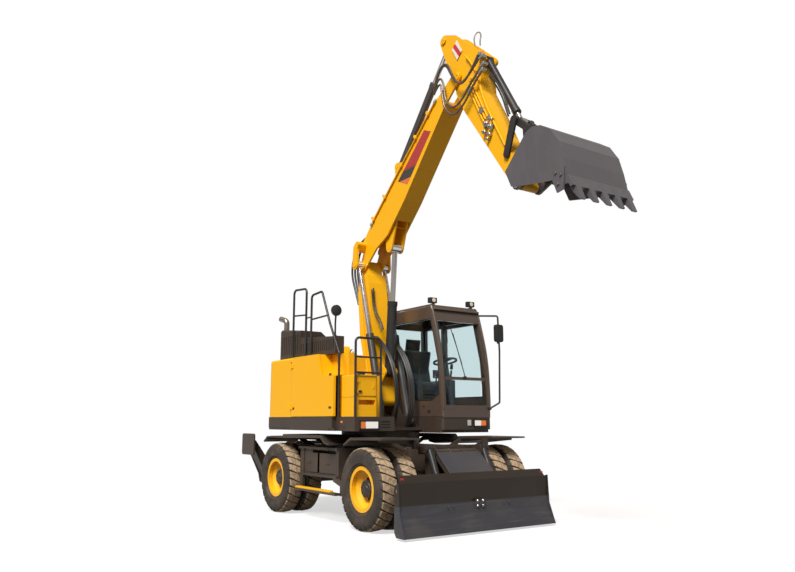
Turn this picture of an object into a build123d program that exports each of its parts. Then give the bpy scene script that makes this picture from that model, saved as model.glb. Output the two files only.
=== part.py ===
"""Wheeled excavator: chassis on twin tyres with a blade and two stabilisers, slewing body with
cab, two-piece boom, stick and toothed bucket. Millimetres, +X forward, +Y left, +Z up, with the
origin on the ground under the slewing axis. Pins of the arm are given in the XZ plane."""
from build123d import *
from math import acos, asin, atan2, cos, degrees, hypot, pi, radians, sin, sqrt
import os

os.makedirs("parts", exist_ok=True)

# Wheels and axles
FRONT_AXLE_X = 1400
REAR_AXLE_X = -1120
TYRE_R = 525
TYRE_W = 270
RIM_R = 290
RIM_SEAT_R = 254
RIM_WALL = 12
RIM_FLANGE = 14
BEAD_IN = 46
OUTER_TYRE_Y = 1113
INNER_TYRE_Y = 788
HUB_R = 112
KINGPIN_Y = 640
KINGPIN_R = 32
AXLE_TUBE_R = 95

# Half width of the body, which the chassis decks, the cab and the side boxes follow
HALF_W = 1245

# Chassis
BEAM_HALF_W = 300
BEAM_Z0, BEAM_Z1 = 620, 1000
RING_R = 560
RING_Z0, RING_Z1 = 1000, 1125
DECK_Z, DECK_T = 1150, 22
DECK_Y0, DECK_Y1 = 630, HALF_W - 15
CHASSIS_REAR_X = -2430
SIDE_BOX_X0, SIDE_BOX_X1, SIDE_BOX_Y = -565, 580, HALF_W - 165
SIDE_BOX_Z0, SIDE_BOX_Z1 = 600, 1015
STEP_Y, STEP_Z, STEP_FRONT_X = HALF_W - 90, 418, 700
STEP_BRACKET = 38
PLATE = 22

# Blade and its arms
BLADE_W = 2500
BLADE_T = 16
BRACKET_X = 1720
ARM_PIVOT = (1800, 985)
ARM_EYE = (2180, 650)
LINK_DROP = 430
BLADE_CYL_Y = 462
BLADE_CYL_BASE = (1850, 1035)
BLADE_CYL_EYE = (2175, 330)

# Stabilisers, in the YZ plane at STAB_X
STAB_X = -2230
STAB_W = 280
STAB_PIVOT = (830, 420)
STAB_LEG = 660
STAB_RAISED = 62
STAB_CYL_BASE = (300, 930)
STAB_CYL_ARM, STAB_CYL_OFF = 300, 40
PAD_SOLE = 75
TOW_X, TOW_Z0, TOW_R = CHASSIS_REAR_X - 20, 640, 25

# Slewing body
TAIL_R = 1850
PLATFORM_Z0, SKIRT_Z = 1254, 1448
SIDE_TOP = 2345
WEIGHT_X = -600
DOOR_X0, DOOR_X1 = -594, 660
FRONT_X = 1165
TANK_X0, TANK_X1 = 740, 1120
TANK_Y0, TANK_Y1 = -1155, -785
TANK_TOP, TANK_SEAM = 2010, 1709
STEP_BACK_Y, STEP_IN_Y = -1000, -888
NOTCH_Z = 2030
DECK_X1 = 250
EXHAUST_X, EXHAUST_Y = -1450, -930
GAP = 6

# Cab
CAB_X0, CAB_X1 = -500, 1160
CAB_Y0, CAB_Y1 = 315, HALF_W
CAB_Z0, CAB_SILL, CAB_TOP = 1440, 1690, 3130
CAB_BASE_Z0 = 1262
CAB_WALL = 42
CAB_FLOOR = 28
CAB_DOOR_X0, CAB_DOOR_X1 = 60, 1010

# Arm pins, x and z
FOOT = (100, 1700)
KNEE = (-280, 3870)
ELBOW = (2140, 6180)
TIP = (3330, 4280)
LIFT_BASE = (420, 1370)
ADJUST_BASE = (235, 2125)
ADJUST_EYE = (390, 4060)
STICK_CYL_BASE = (560, 5330)
STICK_EYE = (1830, 6880)
BUCKET_CYL_BASE = (2655, 6265)
ROCKER_PIN = (3120, 4745)
CRANK_PIN = (3265, 5160)
BUCKET_PIN = (3470, 4655)
BOOM_HALF_W = 165
LOWER_HALF_W = 172
FOOT_HALF_W = 148
STICK_HALF_W = 130
LIFT_Y = 240
RUN_FIT = 0.3
BUCKET_HALF_W = 510
NOSE_R = 62
LINK_BOW = (200, 100)


def upright(x=0, y=0, z=0):
    """A side-view plane: its x and y are the machine's x and z, and it faces the right side."""
    return Plane(origin=(x, y, z), x_dir=(1, 0, 0), z_dir=(0, -1, 0))


def along(p, q):
    """A side-view plane with its origin at pin p and its x axis towards pin q."""
    return Plane(origin=(p[0], 0, p[1]), x_dir=(q[0] - p[0], 0, q[1] - p[1]), z_dir=(0, -1, 0))


def local(plane, pin):
    """A side-view pin in the plane's own x and y."""
    v = plane.to_local_coords(Vector(pin[0], 0, pin[1]))
    return v.X, v.Y


def slab(points, y0, y1, plane=None, mode=Mode.ADD, fillets=0):
    """Extrude a side-view outline between two y stations."""
    with BuildSketch((plane or upright()).offset(-y1)) as outline:
        with BuildLine():
            Polyline(*points, close=True)
        make_face()
        if fillets:
            fillet(outline.vertices(), fillets)
    extrude(outline.sketch, amount=y1 - y0, mode=mode)


def web(discs, y0, y1, plane=None, mode=Mode.ADD):
    """Extrude the hull of a few discs (x, y, radius): lugs, links and rounded plates."""
    with BuildSketch((plane or upright()).offset(-y1)) as outline:
        for x, y, r in discs:
            with Locations((x, y)):
                Circle(r)
        make_hull()
    extrude(outline.sketch, amount=y1 - y0, mode=mode)


def bar(start, end, radius, mode=Mode.ADD):
    """A round bar between two points in space."""
    a, b = Vector(*start), Vector(*end)
    with BuildSketch(Plane(origin=a, z_dir=b - a)) as section:
        Circle(radius)
    extrude(section.sketch, amount=(b - a).length, mode=mode)


def cross_pin(pin, y0, y1, radius, mode=Mode.ADD):
    """A pin or bore across the machine at a side-view pin position."""
    bar((pin[0], y0, pin[1]), (pin[0], y1, pin[1]), radius, mode)


def block(x0, x1, y0, y1, z0, z1, mode=Mode.ADD, rotation=(0, 0, 0)):
    """A box given by its limits."""
    with Locations(((x0 + x1) / 2, (y0 + y1) / 2, (z0 + z1) / 2)):
        Box(x1 - x0, y1 - y0, z1 - z0, rotation=rotation, mode=mode)


def pipe(points, radius, bend=60, mode=Mode.ADD):
    """A bent round tube through the points."""
    with BuildLine() as path:
        FilletPolyline(*points, radius=bend)
    with BuildSketch(Plane(origin=path.line @ 0, z_dir=path.line % 0)) as section:
        Circle(radius)
    sweep(section.sketch, path=path.line, mode=mode)


def span(p, q):
    return hypot(q[0] - p[0], q[1] - p[1])


# Wheels
wheels = {}
for name, axle_x, side in [
    ("front_right", FRONT_AXLE_X, -1), ("front_left", FRONT_AXLE_X, 1),
    ("rear_right", REAR_AXLE_X, -1), ("rear_left", REAR_AXLE_X, 1),
]:
    spin = Axis((axle_x, 0, TYRE_R), (0, 1, 0))
    face = Plane(origin=(axle_x, 0, TYRE_R), x_dir=(0, side, 0), z_dir=(side, 0, 0))
    with BuildPart() as tyres:
        for center in (INNER_TYRE_Y, OUTER_TYRE_Y):
            with BuildSketch(face) as section:
                with BuildLine():
                    w = TYRE_W / 2
                    bead = Line((center - w + BEAD_IN, RIM_R + 2), (center - w + BEAD_IN, RIM_SEAT_R + 0.3))
                    a = Line(bead @ 1, (center + w - BEAD_IN, RIM_SEAT_R + 0.3))
                    lip = Line(a @ 1, (center + w - BEAD_IN, RIM_R + 2))
                    b = ThreePointArc(lip @ 1, (center + w, 400), (center + w - 12, TYRE_R - 40))
                    c = Line(b @ 1, (center + w - 38, TYRE_R - 6))
                    d = ThreePointArc(c @ 1, (center, TYRE_R), (center - w + 38, TYRE_R - 6))
                    e = Line(d @ 1, (center - w + 12, TYRE_R - 40))
                    ThreePointArc(e @ 1, (center - w, 400), bead @ 0)
                make_face()
            revolve(section.sketch, axis=spin)
    with BuildPart() as rims:
        for center in (INNER_TYRE_Y, OUTER_TYRE_Y):
            with BuildSketch(face) as section:
                with BuildLine():
                    seat = TYRE_W / 2 - BEAD_IN
                    flange = seat + RIM_FLANGE
                    Polyline(
                        (center - flange, RIM_R), (center - seat - 0.3, RIM_R), (center - seat - 0.3, RIM_SEAT_R),
                        (center + seat + 0.3, RIM_SEAT_R), (center + seat + 0.3, RIM_R), (center + flange, RIM_R),
                        (center + flange, RIM_SEAT_R - RIM_WALL), (center - flange, RIM_SEAT_R - RIM_WALL),
                        close=True,
                    )
                make_face()
            revolve(section.sketch, axis=spin)
        with BuildSketch(face) as section:
            with BuildLine():
                hub_in, hub_out = INNER_TYRE_Y + 20, OUTER_TYRE_Y - 20
                Polyline(
                    (hub_in, 0), (hub_in, HUB_R + 40), (INNER_TYRE_Y + 66, RIM_SEAT_R - 4),
                    (INNER_TYRE_Y + 84, RIM_SEAT_R - 4), (hub_in + 26, HUB_R + 40),
                    (hub_in + 26, HUB_R), (hub_out - 40, HUB_R), (hub_out - 40, HUB_R + 50),
                    (OUTER_TYRE_Y + 20, RIM_SEAT_R - 4), (OUTER_TYRE_Y + 40, RIM_SEAT_R - 4),
                    (hub_out - 14, HUB_R + 40), (hub_out - 14, HUB_R), (hub_out + 40, HUB_R - 8),
                    (hub_out + 52, HUB_R - 40), (hub_out + 52, 0), close=True,
                )
            make_face()
        revolve(section.sketch, axis=spin)
    wheels[name] = (tyres, rims)
    tyres.part.label = "tyres_" + name
    rims.part.label = "rims_" + name
    export_step(tyres.part, f"parts/tyres_{name}.step")
    export_step(rims.part, f"parts/rims_{name}.step")

# Axles and knuckles
FORK_GAP = 118
for name, axle_x, front in [("front_axle", FRONT_AXLE_X, True), ("rear_axle", REAR_AXLE_X, False)]:
    with BuildPart() as axle:
        bar((axle_x, -545, TYRE_R), (axle_x, 545, TYRE_R), AXLE_TUBE_R)
        with Locations((axle_x, 0, TYRE_R)):
            Sphere(185)
        bar((axle_x - 300 if front else axle_x, 0, TYRE_R), (axle_x if front else axle_x + 300, 0, TYRE_R), 90)
        for s in (-1, 1):
            if front:
                block(axle_x - 70, axle_x + 70, min(s * 480, s * 550), max(s * 480, s * 550),
                      TYRE_R - 165, TYRE_R + 165)
                for z in (TYRE_R - 165, TYRE_R + FORK_GAP + 5):
                    block(axle_x - 75, axle_x + 75, min(s * 530, s * 700), max(s * 530, s * 700), z, z + 42)
                bar((axle_x, s * KINGPIN_Y, 340), (axle_x, s * KINGPIN_Y, 710), KINGPIN_R + 0.5, Mode.SUBTRACT)
            else:
                bar((axle_x, s * 540, TYRE_R), (axle_x, s * (INNER_TYRE_Y + 19.8), TYRE_R), 108)
            block(axle_x - 60, axle_x + 60, min(s * 180, s * 270), max(s * 180, s * 270), TYRE_R, TYRE_R + 199.8)
    axle.part.label = name
    export_step(axle.part, f"parts/{name}.step")

for name, s in [("knuckle_right", -1), ("knuckle_left", 1)]:
    with BuildPart() as knuckle:
        block(FRONT_AXLE_X - 55, FRONT_AXLE_X + 55, min(s * 612, s * 690), max(s * 612, s * 690),
              TYRE_R - FORK_GAP, TYRE_R + FORK_GAP)
        bar((FRONT_AXLE_X, s * KINGPIN_Y, TYRE_R - 170), (FRONT_AXLE_X, s * KINGPIN_Y, TYRE_R + 172), KINGPIN_R)
        bar((FRONT_AXLE_X, s * 680, TYRE_R), (FRONT_AXLE_X, s * (INNER_TYRE_Y + 19.8), TYRE_R), 100)
        web([(FRONT_AXLE_X - 60, TYRE_R - 60, 40), (FRONT_AXLE_X - 190, TYRE_R - 60, 30)],
            min(s * 625, s * 655), max(s * 625, s * 655))
    knuckle.part.label = name
    export_step(knuckle.part, f"parts/{name}.step")

# Chassis
link_pivot = (ARM_PIVOT[0], ARM_PIVOT[1] - LINK_DROP)
link_eye = (ARM_EYE[0], ARM_EYE[1] - LINK_DROP)
with BuildPart() as chassis:
    axle_top = TYRE_R + 200
    beam_rear = STAB_X + STAB_W / 2 + 14
    slab([(beam_rear, 660), (-1900, BEAM_Z0), (REAR_AXLE_X - 300, BEAM_Z0), (REAR_AXLE_X - 230, axle_top),
          (REAR_AXLE_X + 230, axle_top), (REAR_AXLE_X + 300, BEAM_Z0), (FRONT_AXLE_X - 420, BEAM_Z0),
          (FRONT_AXLE_X - 350, axle_top), (FRONT_AXLE_X + 220, axle_top), (FRONT_AXLE_X + 270, 520), (BRACKET_X, 500),
          (BRACKET_X, 1070), (1500, 1070), (1100, BEAM_Z1), (beam_rear, BEAM_Z1)], -BEAM_HALF_W, BEAM_HALF_W)
    block(BRACKET_X - PLATE, BRACKET_X, -530, 530, 960, 1070)
    block(BRACKET_X - PLATE, BRACKET_X, -420, 420, 500, 960)
    slab([(-720, 560), (760, 560), (760, 900), (660, 1010), (-640, 1010), (-720, 900)], -540, 540)
    slab([(STAB_X + 175, 620), (-1640, 660), (-1640, 940), (STAB_X + 175, 980)], -430, 430)
    for s in (-1, 1):
        block(1702, 1760, min(s * 560, s * 640), max(s * 560, s * 640), 1030, 1152)
    bar((0, 0, RING_Z0), (0, 0, RING_Z1), RING_R)
    bar((0, 0, 540), (0, 0, 1200), 150, Mode.SUBTRACT)
    for s in (-1, 1):
        y0, y1 = sorted((s * DECK_Y0, s * DECK_Y1))
        lip = DECK_Z - 45
        slab([(-880, DECK_Z - 20), (310, DECK_Z), (410, lip - 30), (560, lip - 50), (560, lip - 28),
              (425, lip - 5), (330, DECK_Z + 40), (-880, DECK_Z + 40)], y0, y1)
        slab([(-1565, lip - 50), (-1450, lip), (-1440, DECK_Z - 20), (-870, DECK_Z - 20), (-870, DECK_Z),
              (-1450, DECK_Z), (-1575, lip - 35)], y0, y1)
        slab([(960, DECK_Z - 90), (1130, DECK_Z - 12), (1880, DECK_Z), (1880, DECK_Z + DECK_T),
              (1120, DECK_Z + DECK_T), (945, DECK_Z - 70)], y0, y1)
        for x in (-1500, -900, -540, 240, 1150, 1690):
            inner, outer = BEAM_HALF_W - 5, DECK_Y1 - 90
            with BuildSketch(Plane(origin=(x, 0, 0), x_dir=(0, s, 0), z_dir=(s, 0, 0))) as gusset:
                with BuildLine():
                    Polyline((inner, 880), (inner, 990), (DECK_Y0, DECK_Z + 2), (outer, DECK_Z + 2),
                             (outer, DECK_Z - 30), (DECK_Y0, DECK_Z - 60), close=True)
                make_face()
            extrude(gusset.sketch, amount=16)
        face = s * SIDE_BOX_Y
        slab([(SIDE_BOX_X0, SIDE_BOX_Z0), (SIDE_BOX_X1, SIDE_BOX_Z0), (SIDE_BOX_X1, SIDE_BOX_Z1),
              (SIDE_BOX_X0, SIDE_BOX_Z1)], min(s * 535, face), max(s * 535, face))
        slab([(-260, SIDE_BOX_Z0 + 45), (500, SIDE_BOX_Z0 + 45), (500, SIDE_BOX_Z1 - 45), (-170, SIDE_BOX_Z1 - 45)],
             min(s * 900, face + s), max(s * 900, face + s), mode=Mode.SUBTRACT)
        for z in (SIDE_BOX_Z0, SIDE_BOX_Z1 - 30):
            block(SIDE_BOX_X0, SIDE_BOX_X1, min(face - s, face + s * 35), max(face - s, face + s * 35), z, z + 30)
        block(-445, -425, min(face - s, face + s * 14), max(face - s, face + s * 14), SIDE_BOX_Z0, SIDE_BOX_Z1)
        y0, y1 = sorted((s * (STEP_Y - 45), s * (STEP_Y + 45)))
        block(-505, STEP_FRONT_X, y0, y1, STEP_Z - 33, STEP_Z)
        y0, y1 = sorted((s * (SIDE_BOX_Y - 10), s * (SIDE_BOX_Y + 32)))
        bracket_x = STEP_FRONT_X + STEP_BRACKET
        slab([(480, SIDE_BOX_Z0 + 5), (575, SIDE_BOX_Z0 + 5), (bracket_x, 562), (bracket_x, STEP_Z - 40),
              (STEP_FRONT_X - 28, STEP_Z - 40), (STEP_FRONT_X - 28, 505), (480, SIDE_BOX_Z0 - 40)], y0, y1)
        slab([(-505, SIDE_BOX_Z0 + 5), (-425, SIDE_BOX_Z0 + 5), (-425, STEP_Z - 34), (-505, STEP_Z - 34)], y0, y1)
        y0, y1 = sorted((s * 390, s * 408))
        web([(ARM_PIVOT[0], ARM_PIVOT[1], 60), (BLADE_CYL_BASE[0], BLADE_CYL_BASE[1], 42),
             (link_pivot[0], link_pivot[1], 50), (BRACKET_X + 12, 1040, 20), (BRACKET_X + 12, 520, 20)], y0, y1)
        for pin, r in ((ARM_PIVOT, 24.5), (link_pivot, 22.5)):
            cross_pin(pin, y0 - 5, y1 + 5, r, Mode.SUBTRACT)
        y0, y1 = sorted((s * 511, s * 527))
        web([(BLADE_CYL_BASE[0], BLADE_CYL_BASE[1], 42), (BRACKET_X + 12, 1040, 20), (BRACKET_X + 12, 990, 20)],
            y0, y1)
        cross_pin(BLADE_CYL_BASE, min(s * 400, s * 531), max(s * 400, s * 531), 22)
    for x in (STAB_X - STAB_W / 2 - 12 - PLATE, STAB_X + STAB_W / 2 + 12):
        with BuildSketch(Plane(origin=(x, 0, 0), x_dir=(0, 1, 0), z_dir=(1, 0, 0))) as bulkhead:
            with BuildLine():
                Polyline((-900, 350), (900, 350), (930, 500), (600, 900), (380, 1040), (-380, 1040),
                         (-600, 900), (-930, 500), close=True)
            make_face()
            fillet(bulkhead.vertices(), 45)
        extrude(bulkhead.sketch, amount=PLATE)
    half = STAB_W / 2 + 20
    block(STAB_X - half, STAB_X + half, -160, 160, 420, 1030)
    block(STAB_X - half, STAB_X + half, -560, 560, 355, 385)
    block(TOW_X - 55, STAB_X - half, -90, 90, TOW_Z0, TOW_Z0 + 50)
    bar((TOW_X, 0, TOW_Z0 - 20), (TOW_X, 0, TOW_Z0 + 70), TOW_R, Mode.SUBTRACT)
    for s in (-1, 1):
        for y, z in (STAB_PIVOT, STAB_CYL_BASE):
            bar((STAB_X - half - 20, s * y, z), (STAB_X + half + 20, s * y, z), 28)
chassis.part.label = "chassis"
export_step(chassis.part, "parts/chassis.step")

# Blade, its wide arm above, two links below and two cylinders
with BuildPart() as blade_arm:
    frame = along(ARM_PIVOT, ARM_EYE)
    reach = span(ARM_PIVOT, ARM_EYE)
    slab([(30, -14), (reach - 75, -14), (reach - 75, 14), (30, 14)], -372, 372, frame.offset(0))
    for s in (-1, 1):
        for y in (s * 330, s * 120):
            web([(0, 0, 46), (reach, 0, 46)], y - 14, y + 14, frame)
        cross_pin(ARM_PIVOT, min(s * 316, s * 424), max(s * 316, s * 424), 24)
    cross_pin(ARM_PIVOT, -344, 344, 38)
    cross_pin(ARM_EYE, -400, 400, 22.5, Mode.SUBTRACT)
blade_arm.part.label = "blade_arm"
export_step(blade_arm.part, "parts/blade_arm.step")

with BuildPart() as blade_links:
    for s in (-1, 1):
        web([(link_pivot[0], link_pivot[1], 42), (link_eye[0], link_eye[1], 42)],
            min(s * 345, s * 385), max(s * 345, s * 385))
        cross_pin(link_pivot, min(s * 345, s * 411), max(s * 345, s * 411), 22)
    cross_pin(((link_pivot[0] + link_eye[0]) / 2, (link_pivot[1] + link_eye[1]) / 2), -365, 365, 30)
    cross_pin(link_eye, -500, 500, 20.5, Mode.SUBTRACT)
blade_links.part.label = "blade_links"
export_step(blade_links.part, "parts/blade_links.step")

half = BLADE_W / 2
with BuildPart() as blade:
    slab([(2258, 655), (2274, 655), (2272, 392), (2300, 250), (2352, 110), (2392, 32), (2374, 32),
          (2330, 110), (2282, 250), (2256, 392)], -half, half)
    slab([(2180, 735), (2196, 742), (2274, 655), (2258, 655), (2252, 640)], -half + 60, half - 60)
    for y in (-half, half - BLADE_T):
        slab([(2190, 90), (2190, 620), (2262, 662), (2282, 662), (2300, 300), (2406, 32), (2230, 32)],
             y, y + BLADE_T)
    for y in (-900, -600, 600, 900):
        slab([(2262, 640), (2215, 560), (2215, 200), (2300, 90), (2330, 110), (2282, 250), (2262, 392)],
             y - 8, y + 8)
    block(2215, 2262, -half + 10, half - 10, 370, 440)
    slab([(2262, 300), (2290, 300), (2310, 345), (2300, 420), (2262, 425)], -75, 75)
    for y in (-half + BLADE_T / 2, half - BLADE_T / 2):
        cross_pin((2222, 565), y - 20, y + 20, 28, Mode.SUBTRACT)
    for s in (-1, 1):
        for y in (s * 301, s * 359):
            web([(ARM_EYE[0], ARM_EYE[1], 44), (2230, ARM_EYE[1] - 60, 34)], y - 9, y + 9)
        for y in (s * 333, s * 397):
            web([(link_eye[0], link_eye[1], 42), (2270, link_eye[1], 30)], y - 8, y + 8)
        cross_pin(ARM_EYE, min(s * 292, s * 368), max(s * 292, s * 368), 22)
        cross_pin(link_eye, min(s * 325, s * 405), max(s * 325, s * 405), 20)
        for y in (s * (BLADE_CYL_Y - 44), s * (BLADE_CYL_Y + 44)):
            web([(BLADE_CYL_EYE[0], BLADE_CYL_EYE[1], 34), (2262, BLADE_CYL_EYE[1], 34)], y - 7, y + 7)
            cross_pin(BLADE_CYL_EYE, y - 9, y + 9, 22)
blade.part.label = "blade"
export_step(blade.part, "parts/blade.step")


# Cylinders: the barrel turns on its base pin; no pin passes through the rod's eye, so that the rod,
# which follows its joint by a constant ratio, can leave its true place a little without touching
GLAND, PISTON = 105, 40


def cylinder_pair(label, base, eye, ys, bore_r, rod_r, barrel_len, eye_w, pin_r, eye_r, rod_pin_r, out):
    """A barrel and a rod for each y in ys, in the side view; the rod can still run out by the length out."""
    frame = along(base, eye)
    reach = span(base, eye)
    u = Vector(eye[0] - base[0], 0, eye[1] - base[1]).normalized()
    with BuildPart() as barrel:
        for y in ys:
            at = lambda d: (base[0] + u.X * d, y, base[1] + u.Z * d)
            bar(at(eye_r * 0.6), at(barrel_len), bore_r)
            bar(at(barrel_len - 70), at(barrel_len), bore_r + 6)
            cross_pin(base, y - eye_w / 2, y + eye_w / 2, eye_r)
            bar(at(barrel_len - GLAND - 10), at(barrel_len + 10), rod_r + RUN_FIT, Mode.SUBTRACT)
            bar(at(eye_r + 25), at(barrel_len - GLAND), bore_r - 14, Mode.SUBTRACT)
            cross_pin(base, y - eye_w, y + eye_w, pin_r, Mode.SUBTRACT)
    barrel.part.label = label + "_barrel" + ("s" if len(ys) > 1 else "")
    export_step(barrel.part, f"parts/{barrel.part.label}.step")
    with BuildPart() as rod:
        for y in ys:
            at = lambda d: (base[0] + u.X * d, y, base[1] + u.Z * d)
            piston = barrel_len - GLAND - out - PISTON - 8
            bar(at(piston), at(reach - eye_r * 0.7), rod_r)
            bar(at(piston), at(piston + PISTON), bore_r - 14.5)
            cross_pin(eye, y - eye_w / 2, y + eye_w / 2, eye_r)
            cross_pin(eye, y - eye_w, y + eye_w, rod_pin_r, Mode.SUBTRACT)
    rod.part.label = label + "_rod" + ("s" if len(ys) > 1 else "")
    export_step(rod.part, f"parts/{rod.part.label}.step")


cylinder_pair("blade_cylinder", BLADE_CYL_BASE, BLADE_CYL_EYE, (-BLADE_CYL_Y, BLADE_CYL_Y), 45, 25,
              470, 60, 22.5, 38, 26, 40)
cylinder_pair("lift_cylinder", LIFT_BASE, KNEE, (-LIFT_Y, LIFT_Y), 56, 35, 1400, 104, 30.5, 62, 47, 40)
cylinder_pair("adjust_cylinder", ADJUST_BASE, ADJUST_EYE, (0,), 74, 42, 1095, 160, 34.5, 72, 52, 190)
cylinder_pair("stick_cylinder", STICK_CYL_BASE, STICK_EYE, (0,), 58, 36, 1390, 110, 32.5, 62, 49, 505)
cylinder_pair("bucket_cylinder", BUCKET_CYL_BASE, CRANK_PIN, (0,), 52, 32, 1085, 100, 30.5, 56, 47, 815)

# Stabilisers: a wide leg with its pad on top when raised, and a cylinder inside it
for name, s in [("right", -1), ("left", 1)]:
    raised = radians(STAB_RAISED)
    py, pz = STAB_PIVOT
    legs = Plane(origin=(STAB_X + STAB_W / 2, s * py, pz), x_dir=(0, s * cos(raised), sin(raised)), z_dir=(-1, 0, 0))
    flip = 1 if s < 0 else -1
    arm_eye = (STAB_CYL_ARM, flip * STAB_CYL_OFF)
    with BuildPart() as leg:
        for shift in (0, STAB_W - 24):
            with BuildSketch(legs.offset(shift)) as cheek:
                for x, y, r in [(0, 0, 66), (*arm_eye, 52), (STAB_LEG, 0, 44)]:
                    with Locations((x, y)):
                        Circle(r)
                make_hull()
                Circle(29, mode=Mode.SUBTRACT)
            extrude(cheek.sketch, amount=24)
        with BuildSketch(legs) as back:
            with Locations(((STAB_LEG + 60) / 2, flip * -38)):
                Rectangle(STAB_LEG - 120, 16)
        extrude(back.sketch, amount=STAB_W)
        pin = Vector(STAB_X, s * (py + STAB_CYL_ARM * cos(raised) - STAB_CYL_OFF * sin(raised)),
                     pz + STAB_CYL_ARM * sin(raised) + STAB_CYL_OFF * cos(raised))
        for x0, x1 in ((1, 92), (STAB_W - 92, STAB_W - 1)):
            bar((STAB_X - STAB_W / 2 + x0, pin.Y, pin.Z), (STAB_X - STAB_W / 2 + x1, pin.Y, pin.Z), 24)
        tip_y, tip_z = py + STAB_LEG * cos(raised), pz + STAB_LEG * sin(raised)
        sole = tip_y + PAD_SOLE
        with BuildSketch(Plane(origin=(STAB_X, s * (sole - 26), tip_z), x_dir=(1, 0, 0), z_dir=(0, s, 0))) as pad:
            RectangleRounded(480, 350, 45)
        extrude(pad.sketch, amount=26)
        for x in (-90, 66):
            with BuildSketch(Plane(origin=(STAB_X + x, 0, 0), x_dir=(0, s, 0), z_dir=(s, 0, 0))) as ear:
                with BuildLine():
                    Polyline((tip_y - 45, tip_z - 45), (sole - 20, tip_z - 130), (sole - 20, tip_z + 130),
                             (tip_y - 45, tip_z + 45), close=True)
                make_face()
            extrude(ear.sketch, amount=24 * s)
        bar((STAB_X - STAB_W / 2, s * tip_y, tip_z), (STAB_X + STAB_W / 2, s * tip_y, tip_z), 26)
    leg.part.label = "stabiliser_" + name
    export_step(leg.part, f"parts/stabiliser_{name}.step")
    base = Vector(STAB_X, s * STAB_CYL_BASE[0], STAB_CYL_BASE[1])
    u = (pin - base).normalized()
    reach = (pin - base).length
    with BuildPart() as barrel:
        bar(base + u * 20, base + u * (reach - 110), 46)
        bar(base + u * (reach - 170), base + u * (reach - 110), 52)
        bar((STAB_X - 40, base.Y, base.Z), (STAB_X + 40, base.Y, base.Z), 44)
        bar((STAB_X - 60, base.Y, base.Z), (STAB_X + 60, base.Y, base.Z), 28.5, Mode.SUBTRACT)
        bar(base + u * 110, base + u * (reach - 100), 26 + RUN_FIT, Mode.SUBTRACT)
    barrel.part.label = "stabiliser_barrel_" + name
    export_step(barrel.part, f"parts/stabiliser_barrel_{name}.step")
    with BuildPart() as rod:
        bar(base + u * 130, pin - u * 20, 26)
        bar((STAB_X - 36, pin.Y, pin.Z), (STAB_X + 36, pin.Y, pin.Z), 38)
        bar((STAB_X - 60, pin.Y, pin.Z), (STAB_X + 60, pin.Y, pin.Z), 24.5, Mode.SUBTRACT)
    rod.part.label = "stabiliser_rod_" + name
    export_step(rod.part, f"parts/stabiliser_rod_{name}.step")

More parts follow.
